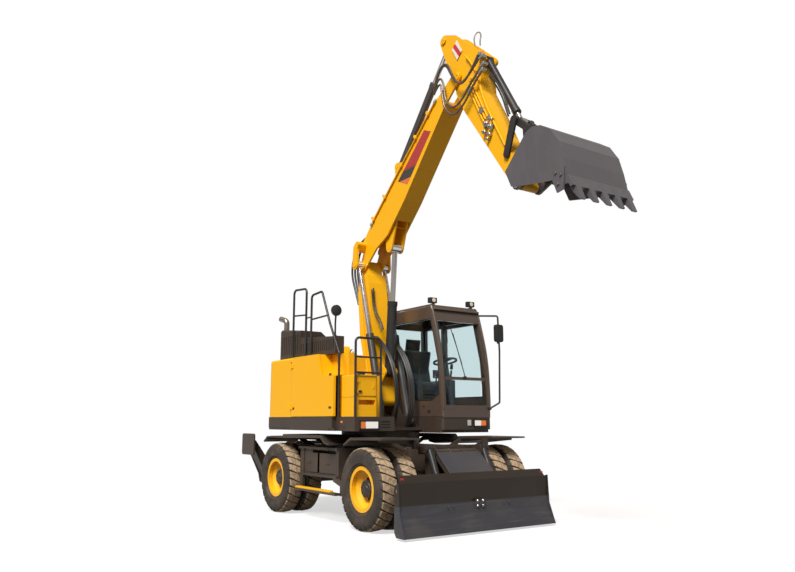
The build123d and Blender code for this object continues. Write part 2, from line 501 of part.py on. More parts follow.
# Slewing platform with the boom's brackets
with BuildPart() as platform:
    with BuildSketch(Plane.XY.offset(PLATFORM_Z0)) as plan:
        Circle(TAIL_R - 8)
        with Locations((-600, 0)):
            Rectangle(2600, 2 * HALF_W - 16, mode=Mode.INTERSECT)
    extrude(plan.sketch, amount=40)
    block(WEIGHT_X, 560, -HALF_W, HALF_W, PLATFORM_Z0, PLATFORM_Z0 + 40)
    block(560, FRONT_X, -HALF_W + 60, -540, PLATFORM_Z0, PLATFORM_Z0 + 40)
    bar((0, 0, RING_Z1 + 0.2), (0, 0, PLATFORM_Z0 + 1), 600)
    bar((0, 0, 1120), (0, 0, 1400), 150, Mode.SUBTRACT)
    with BuildSketch(Plane.XY.offset(PLATFORM_Z0 + 30)) as skirt:
        Circle(TAIL_R)
        with Locations((-600, 0)):
            Rectangle(2520, 2 * HALF_W, mode=Mode.INTERSECT)
        offset(amount=-PLATE, mode=Mode.SUBTRACT)
    extrude(skirt.sketch, amount=SKIRT_Z - PLATFORM_Z0 - 30)
    block(560, FRONT_X, -HALF_W + 60, -HALF_W + 60 + PLATE, PLATFORM_Z0, SKIRT_Z)
    block(FRONT_X - 45, FRONT_X, -HALF_W + 60, -540, PLATFORM_Z0, SKIRT_Z)
    block(DOOR_X1 + 40, FRONT_X, -562, -540, PLATFORM_Z0, SKIRT_Z)
    block(580, 720, -540, HALF_W + 50, PLATFORM_Z0 + 20, SKIRT_Z + 20, Mode.SUBTRACT)
    block(CAB_X0 - GAP, 720, CAB_Y0 - 2, HALF_W + 50, PLATFORM_Z0 - 30, SKIRT_Z + 20, Mode.SUBTRACT)
    block(CAB_X0 - GAP, CAB_X1 - 40, CAB_Y0 - 40, HALF_W - 30, CAB_BASE_Z0 - 42, CAB_BASE_Z0 + 40)
    with BuildSketch(Plane.XY.offset(CAB_BASE_Z0)) as base_box:
        with Locations(((CAB_X0 + CAB_X1 - 8) / 2, (CAB_Y0 + CAB_Y1) / 2)):
            RectangleRounded(CAB_X1 - 8 - CAB_X0, CAB_Y1 - CAB_Y0, 38)
    extrude(base_box.sketch, amount=CAB_Z0 - 0.3 - CAB_BASE_Z0)
    for y in (-1040, -905):
        for i in range(3):
            block(FRONT_X - 12, FRONT_X + 5, -760, -630, 1300 + i * 34, 1314 + i * 34, Mode.SUBTRACT)
    bar((0, 0, 1100), (0, 0, 1400), 150, Mode.SUBTRACT)
    for s in (-1, 1):
        y0, y1 = sorted((s * (FOOT_HALF_W + 4), s * (FOOT_HALF_W + 22)))
        slab([(-420, PLATFORM_Z0 + 39), (-420, 1420), (-60, 1790), (60, 1840), (180, 1790), (330, 1500),
              (480, 1460), (520, PLATFORM_Z0 + 39)], y0, y1)
        y0, y1 = sorted((s * (LIFT_Y + 56), s * (LIFT_Y + 70)))
        web([(LIFT_BASE[0], LIFT_BASE[1], 62), (LIFT_BASE[0] - 110, 1300, 30), (LIFT_BASE[0] + 90, 1300, 30)],
            y0, y1)
        cross_pin(LIFT_BASE, min(s * (FOOT_HALF_W + 6), s * (LIFT_Y + 71)),
                  max(s * (FOOT_HALF_W + 6), s * (LIFT_Y + 71)), 30)
    cross_pin(FOOT, -FOOT_HALF_W - 30, FOOT_HALF_W + 30, 40)
    block(280, 560, -310, 310, PLATFORM_Z0, PLATFORM_Z0 + 44)
platform.part.label = "platform"
export_step(platform.part, "parts/platform.step")

# Counterweight: a bow around the tail with a wing on each side
with BuildPart() as counterweight:
    with BuildSketch(Plane.XY.offset(SKIRT_Z + 0.3)) as plan:
        Circle(TAIL_R)
        with Locations((-1400, 0)):
            Rectangle(2 * (1400 + WEIGHT_X), 2 * HALF_W, mode=Mode.INTERSECT)
        fillet(plan.vertices().filter_by(lambda v: -1500 < v.X < -1200), 140)
        bay = sqrt(TAIL_R ** 2 - HALF_W ** 2) - 68 + WEIGHT_X
        with Locations((WEIGHT_X - bay / 2 + 25, 0)):
            Rectangle(bay + 50, 2 * (HALF_W - 155), mode=Mode.SUBTRACT)
    extrude(plan.sketch, amount=SIDE_TOP - SKIRT_Z - 0.3)
    rim_edges = counterweight.faces().sort_by(Axis.Z)[-1].edges()
    fillet(rim_edges.filter_by(lambda e: e.center().X < -1330 or abs(e.center().Y) > HALF_W - 5), 34)
counterweight.part.label = "counterweight"
export_step(counterweight.part, "parts/counterweight.step")

SHELL_TOP = [(WEIGHT_X + 5, SIDE_TOP), (198, SIDE_TOP), (290, NOTCH_Z), (DOOR_X1 + 34, NOTCH_Z)]
SHELL_FRONT = DOOR_X1 + 34

# Body shell between counterweight and tank, with the engine bay and its right door
with BuildPart() as body_shell:
    slab([(WEIGHT_X + 5, PLATFORM_Z0 + 40), (DECK_X1, PLATFORM_Z0 + 40), (DECK_X1, SIDE_TOP),
          (WEIGHT_X + 5, SIDE_TOP)], -470, -440)
    block(DECK_X1 - 1, SHELL_FRONT, -470, -440, PLATFORM_Z0 + 40, NOTCH_Z)
    block(SHELL_FRONT - 30, SHELL_FRONT, -1160, -440, PLATFORM_Z0 + 40, NOTCH_Z)
    slab([(x, z - 20) for x, z in SHELL_TOP] + SHELL_TOP[::-1], -HALF_W + 45, STEP_BACK_Y)
    block(WEIGHT_X + 5, SHELL_FRONT, STEP_BACK_Y - 1, STEP_IN_Y, SIDE_TOP - 20, SIDE_TOP)
    block(198, SHELL_FRONT, STEP_BACK_Y - 2, STEP_BACK_Y + 18, NOTCH_Z - 20, SIDE_TOP)
    block(DECK_X1 - 1, SHELL_FRONT, STEP_IN_Y - 18, STEP_IN_Y, NOTCH_Z - 20, SIDE_TOP)
    block(SHELL_FRONT - 18, SHELL_FRONT, STEP_BACK_Y, STEP_IN_Y, NOTCH_Z - 20, SIDE_TOP)
    block(WEIGHT_X + 5, DECK_X1, STEP_IN_Y - 1, -440, SIDE_TOP - 20, SIDE_TOP)
    block(DECK_X1 - 20, DECK_X1, STEP_IN_Y, -440, NOTCH_Z - 20, SIDE_TOP)
    block(DECK_X1 - 20, SHELL_FRONT, STEP_IN_Y - 1, -440, NOTCH_Z - 20, NOTCH_Z)
    slab([(WEIGHT_X + 5, SIDE_TOP - 5), (-392, SIDE_TOP - 5), (-392, 2447), (-462, 2560), (WEIGHT_X + 5, 2560)],
         -487, -300)
    slab([(WEIGHT_X + 5, SIDE_TOP - 5), (-392, SIDE_TOP - 5), (-392, 2425), (WEIGHT_X + 5, 2440)], -301, 290)
    block(WEIGHT_X + 5, WEIGHT_X + 25, -HALF_W + 45, -440, PLATFORM_Z0 + 40, SIDE_TOP)
    block(WEIGHT_X + 5, CAB_X0 - 8, 440, HALF_W, SKIRT_Z + 0.3, SIDE_TOP)
    block(WEIGHT_X + 5, WEIGHT_X + 35, -450, 450, PLATFORM_Z0 + 40, SIDE_TOP)
body_shell.part.label = "body_shell"
export_step(body_shell.part, "parts/body_shell.step")

with BuildPart() as side_door:
    slab([(DOOR_X0, SKIRT_Z + GAP), (DOOR_X1 + 30, SKIRT_Z + GAP), (DOOR_X1 + 30, 2012), (300, 2050),
          (214, SIDE_TOP), (DOOR_X0, SIDE_TOP)], -HALF_W, -HALF_W + 38)
    slab([(DOOR_X0 + 40, SKIRT_Z + 50), (DOOR_X1 - 10, SKIRT_Z + 50), (DOOR_X1 - 10, 1972), (270, 2010),
          (184, SIDE_TOP - 44), (DOOR_X0 + 40, SIDE_TOP - 44)], -HALF_W + 8, -HALF_W + 60, mode=Mode.SUBTRACT)
    for z in (1560, 2180):
        bar((DOOR_X0 - 8, -HALF_W - 12.3, z), (DOOR_X0 - 8, -HALF_W - 12.3, z + 80), 12)
        block(DOOR_X0 - 6, DOOR_X0 + 60, -HALF_W - 8, -HALF_W + 2, z, z + 80)
side_door.part.label = "side_door"
export_step(side_door.part, "parts/side_door.step")

# Hood over the engine, high on the right and low in the middle, and the intake box in front of it
HOOD_X0, HOOD_X1, HOOD_Y = -1290, -612, 1110
HOOD_WALL = 25
HOOD_HINGE = (-634, 2752)


def hood_form(inset):
    """The hood's outer form, or the space inside it, drawn in by an inset."""
    low = SIDE_TOP + 0.3 if inset == 0 else SIDE_TOP - 20
    with BuildPart() as form:
        slab([(HOOD_X0 + inset, low), (HOOD_X1 - inset, low),
              (HOOD_X1 - inset, 2783 - inset), (HOOD_X0 + 30 + inset, 2852 - inset),
              (HOOD_X0 + inset, 2815 - inset)], -HOOD_Y + inset, HOOD_Y - inset)
        with BuildSketch(Plane(origin=(HOOD_X0 - 10, 0, 0), x_dir=(0, 1, 0), z_dir=(1, 0, 0))) as cross:
            with BuildLine():
                Polyline((-HOOD_Y + inset, low - 1), (-HOOD_Y + inset, 2900), (-800 - inset / 2, 2900),
                         (-760 - inset / 2, 2800 - inset), (-300 - inset, 2440 - inset),
                         (HOOD_Y - inset, 2440 - inset), (HOOD_Y - inset, low - 1), close=True)
            make_face()
        extrude(cross.sketch, amount=1100, mode=Mode.INTERSECT)
        if inset == 0:
            fillet(form.edges().filter_by(lambda e: e.center().Z > 2790 and e.length > 400), 40)
    return form.part


with BuildPart() as hood:
    add(hood_form(0))
    add(hood_form(HOOD_WALL), mode=Mode.SUBTRACT)
    for i in range(9):
        x = HOOD_X0 + 60 + i * 66
        block(x, x + 22, -HOOD_Y - 10, -HOOD_Y + 40, SIDE_TOP + 70, 2720, Mode.SUBTRACT)
    for y in (-1070, -930):
        cross_pin(HOOD_HINGE, y, y + 90, 13)
hood.part.label = "hood"
export_step(hood.part, "parts/hood.step")

BOX_X0, BOX_X1, BOX_TOP0, BOX_TOP1 = WEIGHT_X + 5, 492, 2665, 2600


def intake_form(inset, low):
    """The intake box, wide at its rear and narrow in front, drawn in by an inset."""
    with BuildPart() as form:
        slab([(BOX_X0 + inset, low), (BOX_X1 - inset, low), (BOX_X1 - inset, BOX_TOP1 - inset),
              (380, BOX_TOP1 - inset), (BOX_X0 + inset, BOX_TOP0 - inset)], -HOOD_Y + inset, -490)
        with BuildSketch(Plane.XY.offset(low - 1)) as plan:
            with BuildLine():
                Polyline((BOX_X0 - 1, -HOOD_Y - 1), (BOX_X1 + 1, -HOOD_Y - 1), (BOX_X1 + 1, -965 - inset),
                         (BOX_X0 - 1, -500 - inset), close=True)
            make_face()
        extrude(plan.sketch, amount=500, mode=Mode.INTERSECT)
    return form.part


with BuildPart() as intake_box:
    add(intake_form(0, SIDE_TOP + 0.3))
    add(intake_form(20, SIDE_TOP + 20), mode=Mode.SUBTRACT)
    for i in range(17):
        x = BOX_X0 + 24 + i * 62
        block(x, x + 22, -HOOD_Y - 10, -HOOD_Y + 40, SIDE_TOP + 60, 2560, Mode.SUBTRACT)
intake_box.part.label = "intake_box"
export_step(intake_box.part, "parts/intake_box.step")

with BuildPart() as exhaust:
    ex, ey, top = EXHAUST_X, EXHAUST_Y, 3030
    pipe([(ex, ey, SIDE_TOP + 0.3), (ex, ey, top), (ex - 150, ey - 40, top + 50)], 45, 70)
    pipe([(ex, ey, SIDE_TOP - 10), (ex, ey, top), (ex - 160, ey - 42.7, top + 53.3)], 39, 70, Mode.SUBTRACT)
    bar((ex, ey, SIDE_TOP + 0.3), (ex, ey, SIDE_TOP + 14), 78)
    bar((ex, ey, SIDE_TOP + 13), (ex, ey, SIDE_TOP + 180), 62)
exhaust.part.label = "exhaust"
export_step(exhaust.part, "parts/exhaust.step")

with BuildPart() as engine:
    block(-1240, -640, -700, 620, PLATFORM_Z0 + 40.3, 2140)
engine.part.label = "engine"
export_step(engine.part, "parts/engine.step")

# Tank, with a foot slot in its front and a tool box above it
BAY_Y0, BAY_Y1, BAY_Z0, BAY_Z1 = TANK_Y0 + 38, TANK_Y1 - 34, TANK_SEAM + 12, TANK_TOP - 26
with BuildPart() as tank:
    with BuildSketch(Plane.XY.offset(SKIRT_Z + 0.3)) as plan:
        with Locations(((TANK_X0 + TANK_X1) / 2, (TANK_Y0 + TANK_Y1) / 2)):
            RectangleRounded(TANK_X1 - TANK_X0, TANK_Y1 - TANK_Y0, 34)
    extrude(plan.sketch, amount=TANK_TOP - SKIRT_Z - 0.3)
    chamfer(tank.faces().sort_by(Axis.Z)[-1].edges(), 12)
    block(TANK_X1 - 300, TANK_X1 + 10, BAY_Y0, BAY_Y1, BAY_Z0, BAY_Z1, Mode.SUBTRACT)
    block(TANK_X1 - 130, TANK_X1 + 10, -1100, -830, 1608, 1672, Mode.SUBTRACT)
    with BuildSketch(Plane.XY.offset(TANK_SEAM - 4)) as seam:
        with Locations(((TANK_X0 + TANK_X1) / 2, (TANK_Y0 + TANK_Y1) / 2)):
            RectangleRounded(TANK_X1 - TANK_X0 + 20, TANK_Y1 - TANK_Y0 + 20, 44)
            RectangleRounded(TANK_X1 - TANK_X0 - 12, TANK_Y1 - TANK_Y0 - 12, 28, mode=Mode.SUBTRACT)
    extrude(seam.sketch, amount=8, mode=Mode.SUBTRACT)
tank.part.label = "tank"
export_step(tank.part, "parts/tank.step")

with BuildPart() as toolbox_door:
    block(TANK_X1 - 20, TANK_X1 + 6, BAY_Y0 + 5, BAY_Y1 - 5, BAY_Z0 + 5, BAY_Z1 - 5)
    block(TANK_X1 + 4, TANK_X1 + 12, BAY_Y1 - 60, BAY_Y1 - 30, 1830, 1880)
    for z in (BAY_Z0 + 40, BAY_Z1 - 80):
        bar((TANK_X1 + 12, BAY_Y0 - 4, z), (TANK_X1 + 12, BAY_Y0 - 4, z + 40), 11.7)
        block(TANK_X1 + 3, TANK_X1 + 12, BAY_Y0 - 4, BAY_Y0 + 40, z, z + 40)
toolbox_door.part.label = "toolbox_door"
export_step(toolbox_door.part, "parts/toolbox_door.step")

# Rails, guards and mirrors
RAIL_R = 17
RAIL_Y = -1152
with BuildPart() as handrails:
    y = RAIL_Y
    pipe([(-760, y, SIDE_TOP + 0.3), (-760, y, 3430), (-340, y, 3400), (-340, y, SIDE_TOP + 0.3)], RAIL_R, 70)
    bar((-760, y, 3020), (-340, y, 2990), 13)
    pipe([(-170, y, SIDE_TOP + 0.3), (-170, y, 3270), (150, y, 3290), (400, y, 2790), (716, y - 22, 2330),
          (716, y - 22, SKIRT_Z + 0.3)], RAIL_R, 60)
    bar((-170, y, 2900), (340, y, 2910), 13)
    bar((-340, y, 2940), (-170, y, 2940), 11)
handrails.part.label = "handrails"
export_step(handrails.part, "parts/handrails.step")

GUARD_X, GUARD_Y0, GUARD_Y1 = 1145, -1167, -757
with BuildPart() as step_guard:
    pipe([(GUARD_X, GUARD_Y0, SKIRT_Z + 0.3), (GUARD_X, GUARD_Y0, 2512), (GUARD_X, GUARD_Y1, 2512),
          (GUARD_X, GUARD_Y1, SKIRT_Z + 0.3)], RAIL_R, 60)
    for z in (2250, 2040):
        bar((GUARD_X, GUARD_Y0, z), (GUARD_X, GUARD_Y1, z), 13)
step_guard.part.label = "step_guard"
export_step(step_guard.part, "parts/step_guard.step")

with BuildPart() as mirrors:
    pipe([(440, -1085, BOX_TOP1 + 8), (440, -1085, 2800), (520, -1120, 2960)], 13, 40)
    bar((510, -1120, 2960), (540, -1120, 2960), 80)
    bar((440, -1085, BOX_TOP1 + 0.2), (440, -1085, BOX_TOP1 + 16), 22)
    out = CAB_Y1 + 95
    pipe([(800, CAB_Y1 + 0.3, 3040), (800, CAB_Y1 + 60, 3040), (1250, out, 2990), (1250, out + 22, 2440),
          (1250, out, 1660), (CAB_X1 + 20, CAB_Y1 - 40, 1575)], 14, 40)
    bar((CAB_X1 + 0.3, CAB_Y1 - 40, 1575), (CAB_X1 + 30, CAB_Y1 - 40, 1575), 26)
    with BuildSketch(Plane(origin=(1238, out + 4, 2719), x_dir=(0, 1, 0), z_dir=(1, 0, 0))) as head:
        RectangleRounded(165, 270, 40)
    extrude(head.sketch, amount=40)
mirrors.part.label = "mirrors"
export_step(mirrors.part, "parts/mirrors.step")

# Lamps seated on the cab roof and on the front of the platform
with BuildPart() as work_lamps:
    for y in (CAB_Y0 + 90, CAB_Y1 - 90):
        bar((820, y, CAB_TOP + 0.2), (820, y, CAB_TOP + 22), 34)
        bar((820, y, CAB_TOP + 20), (820, y, CAB_TOP + 40), 12)
        block(775, 850, y - 62, y + 62, CAB_TOP + 38, CAB_TOP + 118)
    block(FRONT_X + 0.3, FRONT_X + 16, -1120, -800, 1272, 1400)
    block(CAB_X1 - 7.7, CAB_X1 + 8, 885, 1150, 1302, 1414)
work_lamps.part.label = "work_lamps"
export_step(work_lamps.part, "parts/work_lamps.step")

# Cab
CAB_BROW = (915, 3060)
PILLAR_MID = (1098, 2277)


def cab_form(inset, y0, y1, mode=Mode.ADD):
    """The cab in side view, drawn in by an inset, with its front pillar as one arc."""
    with BuildSketch(upright().offset(-y1)) as outline:
        with BuildLine():
            foot = (CAB_X1 - inset, CAB_SILL - 150)
            brow = (CAB_BROW[0] - inset, CAB_BROW[1] - inset / 2)
            ThreePointArc(foot, (PILLAR_MID[0] - inset, PILLAR_MID[1]), brow)
            Polyline(brow, (885 - inset, CAB_TOP - inset), (CAB_X0 + 70 + inset, CAB_TOP - inset),
                     (CAB_X0 + inset, CAB_TOP - 80 - inset), (CAB_X0 + inset, CAB_Z0 + min(inset, CAB_FLOOR)),
                     (CAB_X1 - inset, CAB_Z0 + min(inset, CAB_FLOOR)), foot)
        make_face()
    extrude(outline.sketch, amount=y1 - y0, mode=mode)


w = CAB_WALL
with BuildPart() as cab:
    cab_form(0, CAB_Y0, CAB_Y1)
    sides = cab.faces().filter_by(Axis.Y)
    fillet([e for f in sides for e in f.edges() if e.center().Z > CAB_Z0 + 60], 34)
    cab_form(w, CAB_Y0 + w, CAB_Y1 - w, Mode.SUBTRACT)
    slab([(CAB_X0 + 90, 2020), (300, 2020), (420, 1704), (880, 1702), (1068, 1790), (1052, 2277), (880, 2905),
          (CAB_X0 + 90, 2905)], CAB_Y0 - 10, CAB_Y0 + w + 10, mode=Mode.SUBTRACT)
    slab([(CAB_X0 + 70, 2020), (CAB_DOOR_X0 - 60, 2020), (CAB_DOOR_X0 - 60, 2905), (CAB_X0 + 70, 2905)],
         CAB_Y1 - w - 10, CAB_Y1 + 10, mode=Mode.SUBTRACT)
    slab([(CAB_DOOR_X0, SKIRT_Z + 30), (CAB_DOOR_X1 + 60, SKIRT_Z + 30), (CAB_DOOR_X1 + 60, 1900),
          (1030, 2300), (870, 2945), (CAB_DOOR_X0, 2945)], CAB_Y1 - w - 10, CAB_Y1 + 10, mode=Mode.SUBTRACT)
    slab([(880, 2880), (CAB_X1 + 40, 2880), (CAB_X1 + 40, 1620), (1080, 1620), (1010, 2277), (840, 2880)],
         CAB_Y0 + 62, CAB_Y1 - 62, mode=Mode.SUBTRACT)
    block(CAB_X0 - 10, CAB_X0 + w + 10, CAB_Y0 + 90, CAB_Y1 - 90, 2150, 2900, Mode.SUBTRACT)
    block(CAB_X1 - 72, CAB_X1 - 42, CAB_Y0 + 30, CAB_Y1 - 30, 1990, 2035)
cab.part.label = "cab"
export_step(cab.part, "parts/cab.step")

with BuildPart() as cab_door:
    x0, x1 = CAB_DOOR_X0 + GAP, CAB_DOOR_X1 + 60 - GAP
    slab([(x0, SKIRT_Z + 36), (x1, SKIRT_Z + 36), (x1, 1898), (1024, 2298), (864, 2939), (x0, 2939)],
         CAB_Y1 - 38, CAB_Y1)
    slab([(x0 + 55, 1760), (x1 - 60, 1760), (x1 - 62, 1890), (962, 2290), (815, 2880), (x0 + 55, 2880)],
         CAB_Y1 - 60, CAB_Y1 + 10, mode=Mode.SUBTRACT)
    block(900, 960, CAB_Y1 - 1, CAB_Y1 + 24, 1640, 1660)
    for z in (1700, 2650):
        bar((CAB_DOOR_X0 - 8, CAB_Y1 + 12.3, z), (CAB_DOOR_X0 - 8, CAB_Y1 + 12.3, z + 90), 12)
        block(x0, x0 + 50, CAB_Y1 - 2, CAB_Y1 + 8, z, z + 90)
        block(CAB_DOOR_X0 - 6, x0 + 2, CAB_Y1 + 0.6, CAB_Y1 + 8, z, z + 90)
cab_door.part.label = "cab_door"
export_step(cab_door.part, "parts/cab_door.step")

with BuildPart() as cab_interior:
    cy = (CAB_Y0 + CAB_Y1) / 2
    floor = CAB_Z0 + CAB_FLOOR
    block(-120, 380, cy - 240, cy + 240, floor + 340, floor + 470)
    slab([(-150, floor + 380), (-10, floor + 440), (-150, floor + 1050), (-250, floor + 1050)], cy - 230, cy + 230)
    block(-60, 300, cy - 200, cy + 200, floor, floor + 345)
    for s in (-1, 1):
        y0, y1 = sorted((cy + s * 270, cy + s * 370))
        block(-100, 420, y0, y1, floor, floor + 560)
        bar((360, (y0 + y1) / 2, floor + 550), (390, (y0 + y1) / 2, floor + 720), 16)
    bar((820, cy, floor + 12), (640, cy, floor + 820), 38)
    block(780, 860, cy - 50, cy + 50, floor, floor + 20)
    with BuildSketch(Plane(origin=(640, cy, floor + 820), z_dir=(-180, 0, 820))) as wheel:
        Circle(190)
        Circle(165, mode=Mode.SUBTRACT)
        Rectangle(350, 30)
    extrude(wheel.sketch, amount=24)
cab_interior.part.label = "cab_interior"
export_step(cab_interior.part, "parts/cab_interior.step")

# Lower boom, foot to knee
frame = along(FOOT, KNEE)
L1 = span(FOOT, KNEE)
adj = local(frame, ADJUST_BASE)
with BuildPart() as lower_boom:
    slab([(330, -105), (900, -95), (L1 - 330, -115), (L1 - 160, -100), (L1 - 160, 110), (L1 - 420, 215),
          (1100, 265), (330, 180)], -LOWER_HALF_W, LOWER_HALF_W, frame, fillets=30)
    slab([(60, -80), (400, -100), (400, 180), (60, 90)], -FOOT_HALF_W, FOOT_HALF_W, frame)
    web([(0, 0, 90), (200, 0, 100)], -FOOT_HALF_W, FOOT_HALF_W, frame)
    web([(L1, 0, 78), (L1 - 220, 0, 98)], -BOOM_HALF_W + 38, BOOM_HALF_W - 38, frame)
    for y in (-112, 88):
        web([(adj[0], adj[1], 64), (adj[0] - 150, -40, 60), (adj[0] + 190, -40, 60)], y, y + 24, frame)
    cross_pin(ADJUST_BASE, -116, 116, 34)
    cross_pin(FOOT, -250, 250, 40.5, Mode.SUBTRACT)
    cross_pin(KNEE, -250, 250, 45.5, Mode.SUBTRACT)
lower_boom.part.label = "lower_boom"
export_step(lower_boom.part, "parts/lower_boom.step")

# Upper boom, knee to elbow
frame = along(KNEE, ELBOW)
L2 = span(KNEE, ELBOW)
eye = local(frame, ADJUST_EYE)
base = local(frame, STICK_CYL_BASE)
with BuildPart() as upper_boom:
    slab([(420, -110), (760, -215), (1400, -205), (L2 - 410, -66), (L2 - 410, 188),
          (2700, 208), (1400, 275), (600, 300), (250, 290), (230, 120)],
         -BOOM_HALF_W, BOOM_HALF_W, frame, fillets=25)
    slab([(180, -320), (1040, -320), (1040, 40), (760, 230), (180, 230)], -BOOM_HALF_W + 30, BOOM_HALF_W - 30,
         frame, Mode.SUBTRACT)
    for y in (-BOOM_HALF_W, BOOM_HALF_W - 30):
        web([(0, 0, 85), (200, 60, 100), (420, 40, 150)], y, y + 30, frame)
        web([(L2, 0, 92), (L2 - 520, 66, 126)], y, y + 30, frame)
    for y in (-114, 88):
        web([(eye[0], eye[1], 82), (1010, -110, 80), (960, 60, 80)], y, y + 26, frame)
    for s in (-1, 1):
        y0, y1 = sorted((s * 296, s * 326))
        web([(0, 0, 78), (190, 190, 60)], y0, y1, frame)
        web([(190, 190, 60), (260, 200, 50)], min(s * 150, s * 326), max(s * 150, s * 326), frame)
        web([(base[0], base[1], 60), (base[0] - 120, base[1] - 160, 50), (base[0] + 120, base[1] - 160, 50)],
            min(s * 62, s * 84), max(s * 62, s * 84), frame)
    cross_pin(KNEE, -BOOM_HALF_W - 14, BOOM_HALF_W + 14, 45)
    for s in (-1, 1):
        cross_pin(KNEE, min(s * 297, s * 334), max(s * 297, s * 334), 45)
    cross_pin(ELBOW, -165, 165, 42)
    for s in (-1, 1):
        cross_pin(ADJUST_EYE, min(s * 88, s * 118), max(s * 88, s * 118), 34)
    cross_pin(STICK_CYL_BASE, -88, 88, 32)
upper_boom.part.label = "upper_boom"
export_step(upper_boom.part, "parts/upper_boom.step")

# Stick, elbow to tip
frame = along(ELBOW, TIP)
L3 = span(ELBOW, TIP)
rod_pin = local(frame, STICK_EYE)
cyl_pin = local(frame, BUCKET_CYL_BASE)
rock_pin = local(frame, ROCKER_PIN)
with BuildPart() as stick:
    slab([(160, -150), (530, -178), (L3 - 160, -105), (L3 - 40, -55), (L3 - 40, 45), (L3 - 190, 50),
          (L3 - 330, 100), (1200, 190), (600, 235), (240, 420), (120, 420)], -STICK_HALF_W, STICK_HALF_W, frame,
         fillets=20)
    for y in (-STICK_HALF_W + 10, STICK_HALF_W - 40):
        web([(rod_pin[0], rod_pin[1], 90), (-560, 240, 90), (cyl_pin[0], cyl_pin[1], 60), (0, 0, 96),
             (200, -60, 90)], y, y + 30, frame)
    web([(L3, 0, NOSE_R), (L3 - 200, 0, NOSE_R)], -STICK_HALF_W + 5, STICK_HALF_W - 5, frame)
    web([(rock_pin[0], rock_pin[1], 52), (rock_pin[0] - 120, 30, 50)], -STICK_HALF_W + 5, STICK_HALF_W - 5, frame)
    slab([(-540, 200), (120, 380), (120, 400), (-540, 225)], -STICK_HALF_W + 12, STICK_HALF_W - 12, frame)
    for s in (-1, 1):
        cross_pin(STICK_EYE, min(s * 86, s * 128), max(s * 86, s * 128), 34)
    cross_pin(BUCKET_CYL_BASE, -128, 128, 30)
    cross_pin(ELBOW, -200, 200, 42.5, Mode.SUBTRACT)
    cross_pin(TIP, -250, 250, 38.5, Mode.SUBTRACT)
    cross_pin(ROCKER_PIN, -250, 250, 32.5, Mode.SUBTRACT)
stick.part.label = "stick"
export_step(stick.part, "parts/stick.step")

with BuildPart() as rocker:
    for s in (-1, 1):
        y0, y1 = sorted((s * 136, s * 164))
        web([(ROCKER_PIN[0], ROCKER_PIN[1], 52), (CRANK_PIN[0], CRANK_PIN[1], 54)], y0, y1)
    cross_pin(ROCKER_PIN, -168, 168, 32)
    for s in (-1, 1):
        cross_pin(CRANK_PIN, min(s * 62, s * 164), max(s * 62, s * 164), 30)
rocker.part.label = "rocker"
export_step(rocker.part, "parts/rocker.step")

# The bucket link bows away from the stick's nose, so that it clears the nose at full curl
frame = along(CRANK_PIN, BUCKET_PIN)
link_len = span(CRANK_PIN, BUCKET_PIN)
with BuildPart() as bucket_link:
    for s in (-1, 1):
        y0, y1 = sorted((s * 62, s * 128))
        web([(0, 0, 50), (*LINK_BOW, 40)], y0, y1, frame)
        web([(*LINK_BOW, 40), (link_len, 0, 60)], y0, y1, frame)
    web([(330, 62, 30), (430, 33, 30)], -70, 70, frame)
    cross_pin(CRANK_PIN, -200, 200, 30.5, Mode.SUBTRACT)
    cross_pin(BUCKET_PIN, -200, 200, 42, Mode.SUBTRACT)
bucket_link.part.label = "bucket_link"
export_step(bucket_link.part, "parts/bucket_link.step")

# Bucket, drawn from its tip pin
with BuildPart() as bucket:
    at = upright(TIP[0], 0, TIP[1])
    for y in (-BUCKET_HALF_W, BUCKET_HALF_W - 25):
        slab([(130, 60), (500, 440), (600, 475), (730, 445), (880, 345), (1000, 170), (1060, -40), (1120, -330),
              (1060, -340), (930, -250), (630, -215), (225, -150)], y, y + 25, at)
    slab([(150, 40), (510, 420), (600, 453), (720, 425), (870, 325), (980, 160), (1040, -40), (1100, -320),
          (1122, -326), (1062, -38), (1002, 172), (882, 350), (730, 450), (598, 477), (495, 440), (130, 60)],
         -BUCKET_HALF_W, BUCKET_HALF_W, at)
    slab([(1040, -230), (1120, -250), (1180, -380), (1140, -390)], -BUCKET_HALF_W, BUCKET_HALF_W, at)
    for i in range(5):
        y = -430 + i * 215
        slab([(1060, -240), (1140, -270), (1250, -540), (1225, -545), (1100, -400)], y - 38, y + 38, at)
    for s in (-1, 1):
        slab([(900, -150), (1080, -150), (1060, -400), (960, -420), (900, -260)],
             min(s * BUCKET_HALF_W, s * (BUCKET_HALF_W + 20)), max(s * BUCKET_HALF_W, s * (BUCKET_HALF_W + 20)), at)
        y0, y1 = sorted((s * 172, s * 202))
        link = (BUCKET_PIN[0] - TIP[0], BUCKET_PIN[1] - TIP[1])
        web([(0, 0, 72), (link[0], link[1], 64), (430, 330, 50), (190, 60, 50)], y0, y1, at)
    cross_pin(TIP, -206, 206, 38)
    for s in (-1, 1):
        cross_pin(BUCKET_PIN, min(s * 166, s * 206), max(s * 166, s * 206), 32)
bucket.part.label = "bucket"
export_step(bucket.part, "parts/bucket.step")
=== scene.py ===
"""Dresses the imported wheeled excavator: finishes for every solid, tyres with their lugs, glass,
lamps, hoses, bolts, seat, signs without words, and the stage it is seen on. Metres, +X forward,
+Y to the machine's left, +Z up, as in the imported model."""
from math import cos, hypot, pi, radians, sin, tau

import bmesh
import bpy
from mathutils import Matrix, Vector


